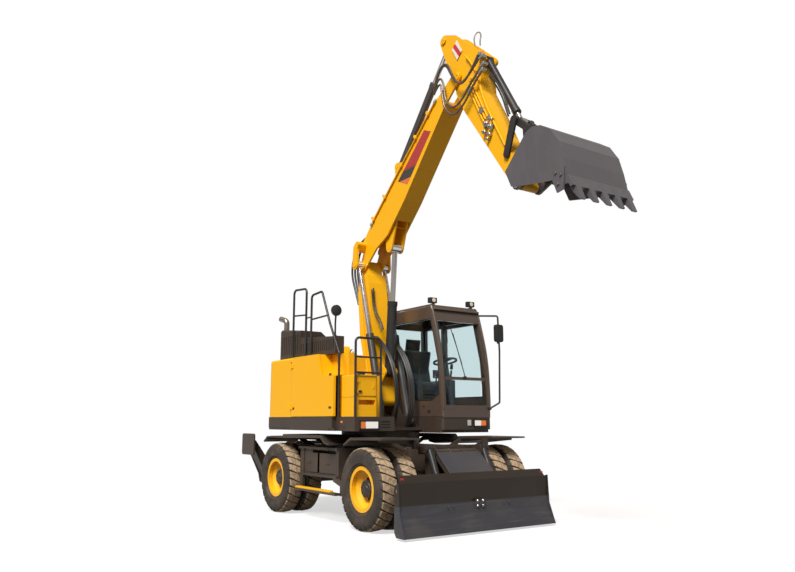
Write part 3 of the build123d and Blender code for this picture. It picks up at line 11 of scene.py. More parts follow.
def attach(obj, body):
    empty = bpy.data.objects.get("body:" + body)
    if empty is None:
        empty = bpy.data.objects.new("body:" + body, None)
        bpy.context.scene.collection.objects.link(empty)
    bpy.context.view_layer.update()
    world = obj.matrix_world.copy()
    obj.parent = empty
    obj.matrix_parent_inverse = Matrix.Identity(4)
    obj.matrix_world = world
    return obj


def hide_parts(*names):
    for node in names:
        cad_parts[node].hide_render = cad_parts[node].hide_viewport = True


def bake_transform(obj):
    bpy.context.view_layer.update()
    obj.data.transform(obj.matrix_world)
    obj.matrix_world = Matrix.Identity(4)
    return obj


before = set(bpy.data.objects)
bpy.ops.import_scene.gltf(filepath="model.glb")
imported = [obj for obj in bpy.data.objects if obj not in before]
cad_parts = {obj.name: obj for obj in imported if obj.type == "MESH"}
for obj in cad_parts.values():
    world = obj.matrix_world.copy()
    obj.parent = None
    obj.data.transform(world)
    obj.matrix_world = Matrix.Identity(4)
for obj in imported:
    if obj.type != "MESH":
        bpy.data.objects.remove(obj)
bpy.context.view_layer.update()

bl_info = {
    "name": "Wheeled Excavator Dressing",
    "version": (1, 0, 0),
    "blender": (4, 5, 0),
    "location": "View3D > Sidebar > Excavator",
    "description": "Finishes and small pieces for a packed wheeled excavator",
    "category": "Object",
}

# Pins of the arm and blade, x and z, and the half widths of the arm's sections
FOOT, KNEE, ELBOW, TIP = (0.100, 1.700), (-0.280, 3.870), (2.140, 6.180), (3.330, 4.280)
BUCKET_CYL_BASE, STICK_EYE = (2.655, 6.265), (1.830, 6.880)
BLADE_PIVOT, BLADE_EYE = (1.800, 0.985), (2.180, 0.650)
BOOM_SIDE, LOWER_SIDE, STICK_SIDE = 0.165, 0.172, 0.130

# Wheels: the solids' crown, sidewall and rim
TYRE_R, TYRE_HALF_W, SIDEWALL_R, RIM_R, RIM_SEAT_R = 0.525, 0.135, 0.400, 0.290, 0.2545
TWIN_Y, DISC_Y = (0.788, 1.113), 1.079
AXLES = {"front": 1.400, "rear": -1.120}
SIDES = {"left": 1, "right": -1}
WHEELS = [(f"{axle}_{side}", x, sign) for axle, x in AXLES.items() for side, sign in SIDES.items()]

# Body and cab
HALF_W, SIDE_TOP, FRONT_X, TANK_FRONT_X = 1.245, 2.345, 1.165, 1.120
CAB_Y0, CAB_Y1, CAB_X1, CAB_TOP, CAB_FLOOR_Z = 0.315, 1.245, 1.160, 3.130, 1.468
CAB_MIDDLE_Y = (CAB_Y0 + CAB_Y1) / 2
BLADE_HALF_W = 1.250

# Signs: the striped diamond's middle, its stripes' slope and width, and how proud a sign stands
DIAMOND, STRIPE_SLOPE, STRIPE_W = (2.137, 6.607), (0.83, 0.56), 0.062
SIGN_T = 0.0025


# Settings a user would change

def colour(label, about, value):
    """A colour property that a user may change."""
    return bpy.props.FloatVectorProperty(name=label, description=about, default=value, size=4,
                                         min=0.0, max=1.0, subtype="COLOR")


def size(label, about, value, low=0.0, high=10.0):
    """A length property in metres."""
    return bpy.props.FloatProperty(name=label, description=about, default=value, min=low, max=high,
                                   unit="LENGTH")


def number(label, about, value, low, high, kind=bpy.props.FloatProperty):
    """A plain number, or a count where kind is IntProperty."""
    return kind(name=label, description=about, default=value, min=low, max=high)


class ExcavatorPaint(bpy.types.PropertyGroup):
    """Colours of the main finishes."""
    arm_yellow: colour("Arm yellow", "Paint of boom, stick and doors", (0.92, 0.455, 0.004, 1))
    frame_dark: colour("Frame dark", "Paint of chassis, skirt and hood", (0.046, 0.033, 0.025, 1))
    cab_dark: colour("Cab dark", "Paint of the cab and its door", (0.078, 0.054, 0.042, 1))
    blade_grey: colour("Blade grey", "Paint of the blade below its bend", (0.040, 0.040, 0.048, 1))
    bucket_grey: colour("Bucket grey", "Worn paint of the bucket", (0.118, 0.110, 0.122, 1))
    rubber: colour("Rubber", "Sidewalls of the tyres", (0.028, 0.023, 0.020, 1))
    dust: colour("Dust", "Dry soil on the treads", (0.46, 0.33, 0.21, 1))


class ExcavatorTread(bpy.types.PropertyGroup):
    """Sizes of the tyres' lugs."""
    lug_count: number("Lugs", "Lugs in each of a tyre's two rows", 28, 12, 48, bpy.props.IntProperty)
    groove: size("Groove", "Depth of the tread under the lugs' tops", 0.024, 0.005, 0.05)
    lug_slant: number("Slant", "How far a lug leans along the tread, per metre across", 0.42, 0.0, 1.0)


class ExcavatorFittings(bpy.types.PropertyGroup):
    """Sizes of hoses, bolts and glass."""
    hose_radius: size("Hose radius", "Outer radius of the arm's hoses", 0.017, 0.005, 0.05)
    pipe_radius: size("Pipe radius", "Outer radius of the arm's hard pipes", 0.014, 0.005, 0.05)
    glass_thickness: size("Glass", "Thickness of the cab's panes", 0.006, 0.002, 0.02)
    wheel_nuts: number("Wheel nuts", "Nuts that hold each rim", 10, 4, 20, bpy.props.IntProperty)


class ExcavatorStage(bpy.types.PropertyGroup):
    """Light and camera."""
    sun_strength: number("Key light", "Strength of the soft key light", 4.6, 0.0, 20.0)
    sky_strength: number("Fill light", "Strength of the even fill light", 0.40, 0.0, 5.0)
    camera_height: size("Camera height", "Height of the camera above the ground", 1.404)


# Shader groups and materials

def feed(tree, node, values):
    """Sets each of a node's named inputs to a plain value, or joins it to a socket."""
    for label, value in values.items():
        if isinstance(value, bpy.types.NodeSocket):
            tree.links.new(value, node.inputs[label])
        else:
            node.inputs[label].default_value = value


def new_node(tree, kind, values=None, **settings):
    """A node of this kind with its settings and its fed inputs."""
    node = tree.nodes.new(kind)
    for key, setting in settings.items():
        setattr(node, key, setting)
    feed(tree, node, values or {})
    return node


def new_group(name, kind, inputs, outputs):
    """A node group with named sockets: its tree, what it is given and its end node."""
    tree = bpy.data.node_groups.new(name, kind)
    for way, sockets in (("INPUT", inputs), ("OUTPUT", outputs)):
        for label, socket in sockets.items():
            tree.interface.new_socket(label, in_out=way, socket_type="NodeSocket" + socket)
    return tree, tree.nodes.new("NodeGroupInput").outputs, tree.nodes.new("NodeGroupOutput")


def noise(tree, vector, scale, detail=4.0):
    """A noise texture's value."""
    values = {"Vector": vector, "Scale": scale, "Detail": detail}
    return new_node(tree, "ShaderNodeTexNoise", values).outputs["Fac"]


def waves(tree, vector, way, scale):
    """A wave texture's value, with its bands across one direction."""
    values = {"Vector": vector, "Scale": scale}
    return new_node(tree, "ShaderNodeTexWave", values, bands_direction=way).outputs["Fac"]


def ramp(tree, value, low, high, out_low=0.0, out_high=1.0):
    """Maps a value smoothly from one span to another."""
    values = {"Value": value, "From Min": low, "From Max": high, "To Min": out_low, "To Max": out_high}
    return new_node(tree, "ShaderNodeMapRange", values, interpolation_type="SMOOTHSTEP").outputs["Result"]


def maths(tree, a, b, operation="MULTIPLY"):
    """One arithmetic step between two values, each a number or a socket."""
    return new_node(tree, "ShaderNodeMath", {0: a, 1: b}, operation=operation).outputs["Value"]


def mix_colour(tree, factor, a, b, blend="MIX"):
    """Mixes two colours; each is a socket or four numbers."""
    values = {"Factor": factor, 6: a, 7: b}
    return new_node(tree, "ShaderNodeMix", values, data_type="RGBA", blend_type=blend).outputs[2]


def mix_shader(tree, factor, a, b):
    """Mixes two shaders."""
    return new_node(tree, "ShaderNodeMixShader", {0: factor, 1: a, 2: b}).outputs["Shader"]


def xyz(tree, vector):
    """The X, Y and Z of a place."""
    return new_node(tree, "ShaderNodeSeparateXYZ", {"Vector": vector}).outputs


AGED_OUT = {"Color": "Color", "Roughness": "Float", "Height": "Float"}


def make_surface_age():
    """Paint that varies, gathers dust low down and wears in patches."""
    tree, given, end = new_group("surface_age", "ShaderNodeTree", {
        "Vector": "Vector", "Paint": "Color", "Dust": "Color", "Dust Amount": "Float",
        "Patch Scale": "Float", "Grain Scale": "Float", "Smooth": "Float", "Rough": "Float"}, AGED_OUT)
    patch = ramp(tree, noise(tree, given["Vector"], given["Patch Scale"], 5.0), 0.42, 0.68)
    grain = noise(tree, given["Vector"], given["Grain Scale"], 6.0)
    low = ramp(tree, xyz(tree, given["Vector"])["Z"], 0.1, 1.5, 1.0, 0.25)
    dusty = maths(tree, maths(tree, patch, low), given["Dust Amount"])
    shade = ramp(tree, grain, 0.3, 0.7, 0.90, 1.06)
    tone = new_node(tree, "ShaderNodeCombineColor", {0: shade, 1: shade, 2: shade}).outputs["Color"]
    varied = mix_colour(tree, 1.0, given["Paint"], tone, "MULTIPLY")
    feed(tree, end, {"Color": mix_colour(tree, dusty, varied, given["Dust"]),
                     "Roughness": ramp(tree, patch, 0.0, 1.0, given["Smooth"], given["Rough"]),
                     "Height": maths(tree, grain, maths(tree, patch, 0.6), "ADD")})
    return tree


def make_scrapes():
    """Long thin marks where soil has scraped the paint to steel."""
    tree, given, end = new_group("scrapes", "ShaderNodeTree", {
        "Vector": "Vector", "Stretch": "Vector", "Colour In": "Color", "Bare Steel": "Color",
        "Amount": "Float", "Roughness In": "Float", "Bare Roughness": "Float"}, AGED_OUT)
    drawn_out = new_node(tree, "ShaderNodeVectorMath", {0: given["Vector"], 1: given["Stretch"]},
                         operation="MULTIPLY").outputs["Vector"]
    lines = noise(tree, drawn_out, 9.0, 8.0)
    worn = maths(tree, ramp(tree, lines, 0.50, 0.66), given["Amount"])
    feed(tree, end, {"Color": mix_colour(tree, worn, given["Colour In"], given["Bare Steel"]),
                     "Roughness": ramp(tree, worn, 0.0, 1.0, given["Roughness In"], given["Bare Roughness"]),
                     "Height": lines})
    return tree


def finish(name):
    """The material made here under this name."""
    return bpy.data.materials[f"{name}_finish"]


def new_material(name):
    """Starts a material: its tree, its Principled shader and its Object coordinates."""
    material = bpy.data.materials.new(f"{name}_finish")
    material.use_nodes = True
    tree = material.node_tree
    return tree, tree.nodes["Principled BSDF"], tree.nodes.new("ShaderNodeTexCoord").outputs["Object"]


def add_bump(tree, shader, height, strength, distance):
    """Raises the surface by a height value."""
    values = {"Strength": strength, "Distance": distance, "Height": height}
    feed(tree, shader, {"Normal": new_node(tree, "ShaderNodeBump", values).outputs["Normal"]})


DUST = (0.30, 0.215, 0.14, 1)
BARE_ROUGHNESS, COAT_ROUGHNESS, GRAIN_DEPTH = 0.42, 0.25, 0.0015


def aged(name, paint, dust=0.25, patch=1.6, grain=90.0, smooth=0.36, rough=0.55, metallic=0.0, coat=0.0,
         bump=0.25, scrape=0.0, stretch=(1, 1, 1), steel=(0.20, 0.19, 0.18, 1), specular=0.4):
    """A finish from the two shared groups, each with its own values."""
    tree, shader, vector = new_material(name)
    last = new_node(tree, "ShaderNodeGroup", {
        "Vector": vector, "Paint": paint, "Dust": DUST, "Dust Amount": dust, "Patch Scale": patch,
        "Grain Scale": grain, "Smooth": smooth, "Rough": rough},
        node_tree=bpy.data.node_groups["surface_age"]).outputs
    if scrape:
        last = new_node(tree, "ShaderNodeGroup", {
            "Vector": vector, "Stretch": stretch, "Colour In": last["Color"], "Bare Steel": steel,
            "Amount": scrape, "Roughness In": last["Roughness"], "Bare Roughness": BARE_ROUGHNESS},
            node_tree=bpy.data.node_groups["scrapes"]).outputs
    feed(tree, shader, {"Base Color": last["Color"], "Roughness": last["Roughness"], "Metallic": metallic,
                        "Coat Weight": coat, "Specular IOR Level": specular,
                        "Coat Roughness": COAT_ROUGHNESS})
    add_bump(tree, shader, last["Height"], bump, GRAIN_DEPTH)
    return tree, shader, vector


def blade_material(paint):
    """The blade: brown above its bend, blue-grey and scraped below."""
    tree, shader, vector = aged("blade_paint", paint.blade_grey[:], dust=0.08, scrape=0.12, smooth=0.38,
                                stretch=(1.0, 0.25, 3.0), steel=(0.13, 0.135, 0.145, 1))
    above = ramp(tree, xyz(tree, vector)["Z"], 0.375, 0.40)
    below = shader.inputs["Base Color"].links[0].from_socket
    feed(tree, shader, {"Base Color": mix_colour(tree, above, below, (0.020, 0.014, 0.010, 1))})


def rubber_material(paint):
    """Tyre rubber: dark sidewalls and a dusty tread, told apart by the distance from the axle."""
    tree, shader, vector = new_material("tyre_rubber")
    place = xyz(tree, vector)
    height = maths(tree, place["Z"], TYRE_R, "SUBTRACT")
    reach = []
    for axle_x in AXLES.values():
        run = maths(tree, place["X"], axle_x, "SUBTRACT")
        total = maths(tree, maths(tree, run, run), maths(tree, height, height), "ADD")
        reach.append(maths(tree, total, 0.5, "POWER"))
    tread = ramp(tree, maths(tree, *reach, "MINIMUM"), 0.500, 0.516)
    mud = ramp(tree, noise(tree, vector, 22.0, 6.0), 0.30, 0.60, 0.45, 1.0)
    side = ramp(tree, noise(tree, vector, 6.0, 5.0), 0.4, 0.7, 0.01, 0.09)
    base = mix_colour(tree, side, paint.rubber[:], paint.dust[:])
    muddy = maths(tree, maths(tree, tread, mud), 0.9)
    feed(tree, shader, {"Base Color": mix_colour(tree, muddy, base, paint.dust[:]),
                        "Roughness": ramp(tree, mud, 0.3, 1.0, 0.62, 0.9)})
    add_bump(tree, shader, noise(tree, vector, 160.0, 5.0), 0.3, 0.001)


def glass_material(name, tint):
    """Clear tinted glass; its transmission and metallic stay plain."""
    tree, shader, vector = new_material(name)
    film = ramp(tree, noise(tree, vector, 3.0, 3.0), 0.4, 0.7, 0.02, 0.09)
    feed(tree, shader, {"Base Color": tint, "Roughness": film, "Transmission Weight": 1.0, "IOR": 1.12,
                        "Metallic": 0.0})


def lens_material(name, tint, glow):
    """A ribbed lamp lens with a little light of its own."""
    tree, shader, vector = new_material(name)
    ribs = waves(tree, vector, "Y", 42.0)
    dim = tuple(0.72 * c for c in tint[:3]) + (1,)
    feed(tree, shader, {"Base Color": mix_colour(tree, ramp(tree, ribs, 0.0, 1.0), dim, tint),
                        "Roughness": 0.18, "Coat Weight": 0.6, "Emission Color": tint,
                        "Emission Strength": glow})
    add_bump(tree, shader, ribs, 0.4, 0.001)


def stripe_material():
    """Red and white slanted stripes of the warning diamond, across its own side view."""
    tree, shader, vector = new_material("warning_stripes")
    place, (along, up) = xyz(tree, vector), STRIPE_SLOPE
    slope = maths(tree, maths(tree, place["X"], along), maths(tree, place["Z"], up), "ADD")
    offset = maths(tree, slope, along * DIAMOND[0] + up * DIAMOND[1], "SUBTRACT")
    step = maths(tree, maths(tree, offset, STRIPE_W / 2, "ADD"), STRIPE_W, "DIVIDE")
    odd = maths(tree, maths(tree, step, 2.0, "FLOORED_MODULO"), 1.0, "LESS_THAN")
    stripes = mix_colour(tree, odd, (0.80, 0.78, 0.76, 1), (0.62, 0.02, 0.02, 1))
    grime = ramp(tree, noise(tree, vector, 40.0), 0.3, 0.7, 0.0, 0.12)
    feed(tree, shader, {"Base Color": mix_colour(tree, grime, stripes, DUST), "Roughness": 0.35})
    add_bump(tree, shader, noise(tree, vector, 120.0), 0.1, 0.0005)


def sign_material():
    """The boom's sign without words: red, dark at its lower part, with an orange end."""
    tree, shader, vector = new_material("boom_sign")
    rise = xyz(tree, vector)["Z"]
    lower = mix_colour(tree, ramp(tree, rise, 5.005, 5.015), (0.75, 0.16, 0.035, 1), (0.022, 0.020, 0.022, 1))
    upper = mix_colour(tree, ramp(tree, rise, 5.13, 5.19), lower, (0.42, 0.018, 0.022, 1))
    grime = ramp(tree, noise(tree, vector, 30.0), 0.3, 0.7, 0.0, 0.15)
    feed(tree, shader, {"Base Color": mix_colour(tree, grime, upper, DUST), "Roughness": 0.32,
                        "Coat Weight": 0.3})
    add_bump(tree, shader, noise(tree, vector, 150.0), 0.08, 0.0005)


def fabric_material():
    """Seat cloth: a fine weave from two crossed waves."""
    tree, shader, vector = new_material("seat_cloth")
    weave = maths(tree, waves(tree, vector, "X", 120.0), waves(tree, vector, "Y", 120.0))
    shade = mix_colour(tree, ramp(tree, weave, 0.0, 1.0), (0.010, 0.010, 0.011, 1), (0.035, 0.035, 0.038, 1))
    feed(tree, shader, {"Base Color": shade, "Roughness": 0.9, "Sheen Weight": 0.3})
    add_bump(tree, shader, weave, 0.5, 0.001)


class EXCAVATOR_OT_finishes(bpy.types.Operator):
    """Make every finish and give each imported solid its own"""
    bl_idname = "excavator.finishes"
    bl_label = "Finishes"

    def execute(self, context):
        paint = context.scene.excavator_paint
        dark, yellow = paint.frame_dark[:], paint.arm_yellow[:]
        make_surface_age()
        make_scrapes()
        aged("yellow_paint", yellow, dust=0.02, smooth=0.34, rough=0.46, coat=0.10, bump=0.05, specular=0.25)
        aged("rim_yellow", yellow, dust=0.10, smooth=0.34, rough=0.5, coat=0.2, bump=0.12, patch=4.0)
        aged("frame_paint", dark, dust=0.20, smooth=0.40, rough=0.58, bump=0.2)
        aged("cab_paint", paint.cab_dark[:], dust=0.06, smooth=0.28, rough=0.42, coat=0.5, bump=0.05)
        aged("skirt_paint", dark, dust=0.12, smooth=0.42, rough=0.6, bump=0.35, grain=220.0)
        aged("bucket_paint", paint.bucket_grey[:], dust=0.05, rough=0.5, metallic=0.2, scrape=0.10,
             stretch=(1.0, 0.3, 0.3), bump=0.12)
        aged("worn_steel", (0.17, 0.165, 0.16, 1), dust=0.15, metallic=0.7, smooth=0.35, scrape=0.5,
             stretch=(3.0, 0.3, 1.0))
        aged("barrel_grey", (0.10, 0.098, 0.10, 1), dust=0.08, metallic=0.55, smooth=0.28, rough=0.42,
             bump=0.08)
        aged("black_steel", (0.030, 0.029, 0.030, 1), dust=0.12, smooth=0.34, rough=0.52, metallic=0.2)
        aged("black_plastic", (0.018, 0.018, 0.019, 1), dust=0.10, smooth=0.5, rough=0.7, bump=0.3,
             grain=260.0)
        aged("hose_rubber", (0.022, 0.021, 0.021, 1), dust=0.12, bump=0.3, grain=400.0)
        aged("braided_hose", (0.125, 0.095, 0.070, 1), smooth=0.30, rough=0.45, bump=0.4, grain=500.0,
             metallic=0.3)
        aged("chrome", (0.72, 0.72, 0.74, 1), dust=0.02, metallic=1.0, smooth=0.08, rough=0.16, bump=0.01)
        aged("zinc", (0.42, 0.41, 0.39, 1), dust=0.10, metallic=0.85, smooth=0.28, rough=0.45, bump=0.1)
        aged("exhaust_steel", (0.34, 0.30, 0.26, 1), dust=0.10, metallic=0.9, smooth=0.28, rough=0.5,
             patch=6.0)
        aged("cast_iron", (0.075, 0.070, 0.066, 1), dust=0.2, smooth=0.6, rough=0.8, bump=0.5)
        aged("trim_plastic", (0.045, 0.048, 0.055, 1), dust=0.03, smooth=0.5, rough=0.65, bump=0.2,
             grain=300.0)
        aged("mirror_glass", (0.62, 0.66, 0.70, 1), dust=0.03, metallic=1.0, smooth=0.04, rough=0.09,
             bump=0.0)
        aged("red_marker", (0.60, 0.018, 0.014, 1), dust=0.10, smooth=0.3, rough=0.5)
        aged("blank_plate", (0.50, 0.50, 0.48, 1), dust=0.1, smooth=0.35, rough=0.5)
        aged("blade_paint_plain", paint.blade_grey[:], dust=0.1, smooth=0.38, bump=0.1)
        blade_material(paint)
        rubber_material(paint)
        glass_material("cab_glass", (0.76, 0.85, 0.86, 1))
        lens_material("white_lens", (0.90, 0.89, 0.84, 1), 0.25)
        lens_material("orange_lens", (0.85, 0.20, 0.03, 1), 0.15)
        lens_material("warm_lens", (0.80, 0.70, 0.52, 1), 0.15)
        stripe_material()
        sign_material()
        fabric_material()
        finish_of = {node: material for material, nodes in NODE_FINISHES.items() for node in nodes.split()}
        for node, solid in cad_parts.items():
            solid.data.materials.clear()
            solid.data.materials.append(finish(finish_of[node]))
        return {"FINISHED"}


NODE_FINISHES = {
    "yellow_paint": "lower_boom upper_boom stick counterweight side_door tank toolbox_door body_shell",
    "rim_yellow": "rims_front_left rims_front_right rims_rear_left rims_rear_right",
    "frame_paint": "chassis front_axle rear_axle knuckle_left knuckle_right blade_arm blade_links"
                   " stabiliser_left stabiliser_right",
    "skirt_paint": "platform hood intake_box",
    "cab_paint": "cab cab_door",
    "black_steel": "handrails step_guard mirrors work_lamps rocker bucket_link adjust_cylinder_barrel"
                   " bucket_cylinder_barrel blade_cylinder_barrels stabiliser_barrel_left"
                   " stabiliser_barrel_right",
    "barrel_grey": "lift_cylinder_barrels stick_cylinder_barrel",
    "chrome": "lift_cylinder_rods stick_cylinder_rod bucket_cylinder_rod adjust_cylinder_rod"
              " blade_cylinder_rods stabiliser_rod_left stabiliser_rod_right",
    "bucket_paint": "bucket",
    "blade_paint": "blade",
    "exhaust_steel": "exhaust",
    "cast_iron": "engine",
    "trim_plastic": "cab_interior",
    "tyre_rubber": "tyres_front_left tyres_front_right tyres_rear_left tyres_rear_right",
}


# Mesh building

def at(p, q, u, v, y):
    """A place u along the line from pin p to pin q, v to its upper side and y across."""
    run = hypot(q[0] - p[0], q[1] - p[1])
    dx, dz = (q[0] - p[0]) / run, (q[1] - p[1]) / run
    return Vector((p[0] + u * dx - v * dz, y, p[1] + u * dz + v * dx))


def level(y, outline):
    """An outline of (x, z) pairs set in the side plane at y."""
    return [(x, y, z) for x, z in outline]


def prism(bm, corners, shift):
    """A solid from a closed row of points and the shift to its other face."""
    shift = Vector(shift)
    near = [bm.verts.new(Vector(c)) for c in corners]
    far = [bm.verts.new(Vector(c) + shift) for c in corners]
    bm.faces.new(near)
    bm.faces.new(far[::-1])
    for i in range(len(near)):
        j = (i + 1) % len(near)
        bm.faces.new((near[j], near[i], far[i], far[j]))


def box(bm, low, high):
    """A block between two corners."""
    (x0, y0, z0), (x1, y1, z1) = low, high
    prism(bm, [(x0, y0, z0), (x1, y0, z0), (x1, y0, z1), (x0, y0, z1)], (0, y1 - y0, 0))


def drum(bm, start, end, radius, sides=24, end_radius=None, edge=0.0):
    """A round bar or cone between two points, with its ends drawn in by an edge."""
    start, end = Vector(start), Vector(end)
    axis = (end - start).normalized()
    turn = axis.to_track_quat("Z", "Y")
    last = radius if end_radius is None else end_radius
    stations = [(start, radius), (end, last)]
    if edge:
        stations = [(start, radius - edge), (start + axis * edge, radius), (end - axis * edge, last),
                    (end, last - edge)]
    rings = [[bm.verts.new(centre + turn @ Vector((r * cos(tau * k / sides), r * sin(tau * k / sides), 0)))
              for k in range(sides)] for centre, r in stations]
    bm.faces.new(rings[0][::-1])
    bm.faces.new(rings[-1])
    for a, b in zip(rings, rings[1:]):
        for k in range(sides):
            m = (k + 1) % sides
            bm.faces.new((a[k], a[m], b[m], b[k]))


def hexagon(bm, foot, way, radius, height):
    """A bolt head on a surface, with its washer."""
    foot, way = Vector(foot), Vector(way).normalized()
    drum(bm, foot - way * 0.001, foot + way * height * 0.2, radius * 1.35, 16)
    drum(bm, foot + way * height * 0.15, foot + way * height, radius, 6, edge=radius * 0.12)


def lathe(bm, profile, centre, segments):
    """Turns a closed profile of (y, radius) pairs round the line through centre along Y."""
    x, y, z = centre
    rings = [[bm.verts.new((x + r * sin(tau * k / segments), y + across, z + r * cos(tau * k / segments)))
              for across, r in profile] for k in range(segments)]
    for a, b in zip(rings, rings[1:] + rings[:1]):
        for i in range(len(profile)):
            j = (i + 1) % len(profile)
            bm.faces.new((a[i], a[j], b[j], b[i]))


def add_mesh(bm, mesh):
    """Adds a mesh to a bmesh and drops the mesh."""
    bm.from_mesh(mesh)
    bpy.data.meshes.remove(mesh)


def tube(bm, points, radius, resolution=8, order=3):
    """A round hose or pipe along a smooth line through its control points."""
    curve = bpy.data.curves.new("route", "CURVE")
    curve.dimensions, curve.bevel_depth, curve.bevel_resolution = "3D", radius, 3
    curve.use_fill_caps, curve.resolution_u = True, resolution
    spline = curve.splines.new("NURBS")
    spline.points.add(len(points) - 1)
    for slot, place in zip(spline.points, points):
        slot.co = (*place, 1)
    spline.order_u, spline.use_endpoint_u = order, True
    holder = bpy.data.objects.new("route", curve)
    mesh = bpy.data.meshes.new_from_object(holder)
    bpy.data.objects.remove(holder)
    bpy.data.curves.remove(curve)
    add_mesh(bm, mesh)


def made(*rows):
    """A new bmesh from rows that each hold a maker and what it is given."""
    bm = bmesh.new()
    for maker, *given in rows:
        maker(bm, *given)
    return bm


def piece(name, bm, material, slot, body="platform", bevel=0.0, smooth=35, recalc=True, blend=None, soften=0):
    """Makes a finished piece from a bmesh and lets it ride on its body; a piece given a blend stays fixed
    where it is, on no body.
    """
    if recalc:
        bmesh.ops.recalc_face_normals(bm, faces=bm.faces)
    mesh = bpy.data.meshes.new(name)
    bm.to_mesh(mesh)
    bm.free()
    mesh.materials.append(finish(material))
    obj = bpy.data.objects.new(name, mesh)
    bpy.context.scene.collection.objects.link(obj)
    if smooth:
        mesh.shade_smooth()
        mesh.set_sharp_from_angle(angle=radians(smooth))
    if bevel:
        trim = obj.modifiers.new("edge", "BEVEL")
        trim.width, trim.segments, trim.limit_method, trim.angle_limit = bevel, 2, "ANGLE", radians(40)
    if soften:
        swell = obj.modifiers.new("soften", "SUBSURF")
        swell.levels = swell.render_levels = soften
    if blend:
        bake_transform(obj)
    else:
        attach(obj, body)
    return obj


# Geometry node trees for what repeats

def copies_tree(name, inputs):
    """A geometry tree with a mesh input, its named values and one output."""
    sockets = {"Geometry": "Geometry", **inputs, "Material": "Material"}
    return new_group(name, "GeometryNodeTree", sockets, {"Geometry": "Geometry"})


def finish_copies(tree, given, end, points, rotation=None):
    """Puts the input mesh on the points, makes the copies real and sets their material."""
    copies = new_node(tree, "GeometryNodeInstanceOnPoints", {"Points": points, "Instance": given["Geometry"]})
    if rotation is not None:
        feed(tree, copies, {"Rotation": rotation})
    real = new_node(tree, "GeometryNodeRealizeInstances", {"Geometry": copies.outputs["Instances"]})
    painted = new_node(tree, "GeometryNodeSetMaterial", {"Geometry": real.outputs["Geometry"],
                                                         "Material": given["Material"]})
    feed(tree, end, {"Geometry": painted.outputs["Geometry"]})
    return tree


def make_ring_tree():
    """Copies turned round the Y axis through a centre."""
    tree, given, end = copies_tree("ring_of_copies", {"Count": "Int", "Centre": "Vector",
                                                      "First Angle": "Float"})
    points = new_node(tree, "GeometryNodePoints", {"Count": given["Count"], "Position": given["Centre"]})
    index = tree.nodes.new("GeometryNodeInputIndex").outputs["Index"]
    step = maths(tree, tau, given["Count"], "DIVIDE")
    turn = new_node(tree, "ShaderNodeMath", {0: index, 1: step, 2: given["First Angle"]},
                    operation="MULTIPLY_ADD").outputs["Value"]
    spin = new_node(tree, "ShaderNodeCombineXYZ", {"Y": turn}).outputs["Vector"]
    return finish_copies(tree, given, end, points.outputs[0], spin)


def make_row_tree():
    """Copies at even steps along a line."""
    tree, given, end = copies_tree("row_of_copies", {"Count": "Int", "First": "Vector", "Step": "Vector"})
    line = new_node(tree, "GeometryNodeMeshLine", {"Count": given["Count"], "Start Location": given["First"],
                                                   "Offset": given["Step"]})
    return finish_copies(tree, given, end, line.outputs["Mesh"])


def repeat(bm, one, tree_name, values, material):
    """Adds the plain mesh of a geometry tree run on a bmesh of one copy."""
    makers = {"ring_of_copies": make_ring_tree, "row_of_copies": make_row_tree}
    tree = bpy.data.node_groups.get(tree_name) or makers[tree_name]()
    bmesh.ops.recalc_face_normals(one, faces=one.faces)
    mesh = bpy.data.meshes.new("one")
    one.to_mesh(mesh)
    one.free()
    holder = bpy.data.objects.new("one", mesh)
    bpy.context.scene.collection.objects.link(holder)
    modifier = holder.modifiers.new("copies", "NODES")
    modifier.node_group = tree
    values = dict(values, Material=finish(material))
    for item in tree.interface.items_tree:
        if item.in_out == "INPUT" and item.name in values:
            modifier[item.identifier] = values[item.name]
    result = bpy.data.meshes.new_from_object(holder.evaluated_get(bpy.context.evaluated_depsgraph_get()))
    holder.modifiers.remove(modifier)
    bpy.data.objects.remove(holder)
    bpy.data.meshes.remove(mesh)
    add_mesh(bm, result)


def ring(bm, one, count, centre, angle, material):
    """Adds copies of one bmesh in a ring."""
    repeat(bm, one, "ring_of_copies", {"Count": count, "Centre": centre, "First Angle": angle}, material)


def row(bm, one, count, first, step, material):
    """Adds copies of one bmesh in a row."""
    repeat(bm, one, "row_of_copies", {"Count": count, "First": first, "Step": step}, material)


# Wheels

def tyre_profile(groove):
    """A tyre's section from bead to crown and mirrored back: (y, radius) pairs in order."""
    w = TYRE_HALF_W
    half = [(w - 0.046, RIM_SEAT_R), (w - 0.046, RIM_R + 0.004), (w - 0.026, 0.302), (w - 0.010, 0.326),
            (w - 0.003, 0.331), (w - 0.004, 0.345), (w - 0.001, 0.372), (w, SIDEWALL_R), (w - 0.001, 0.425),
            (w - 0.004, 0.446), (w - 0.012, 0.470), (w - 0.030, TYRE_R - groove - 0.008),
            (w - 0.075, TYRE_R - groove - 0.001)]
    return half + [(-y, r) for y, r in half[::-1]]


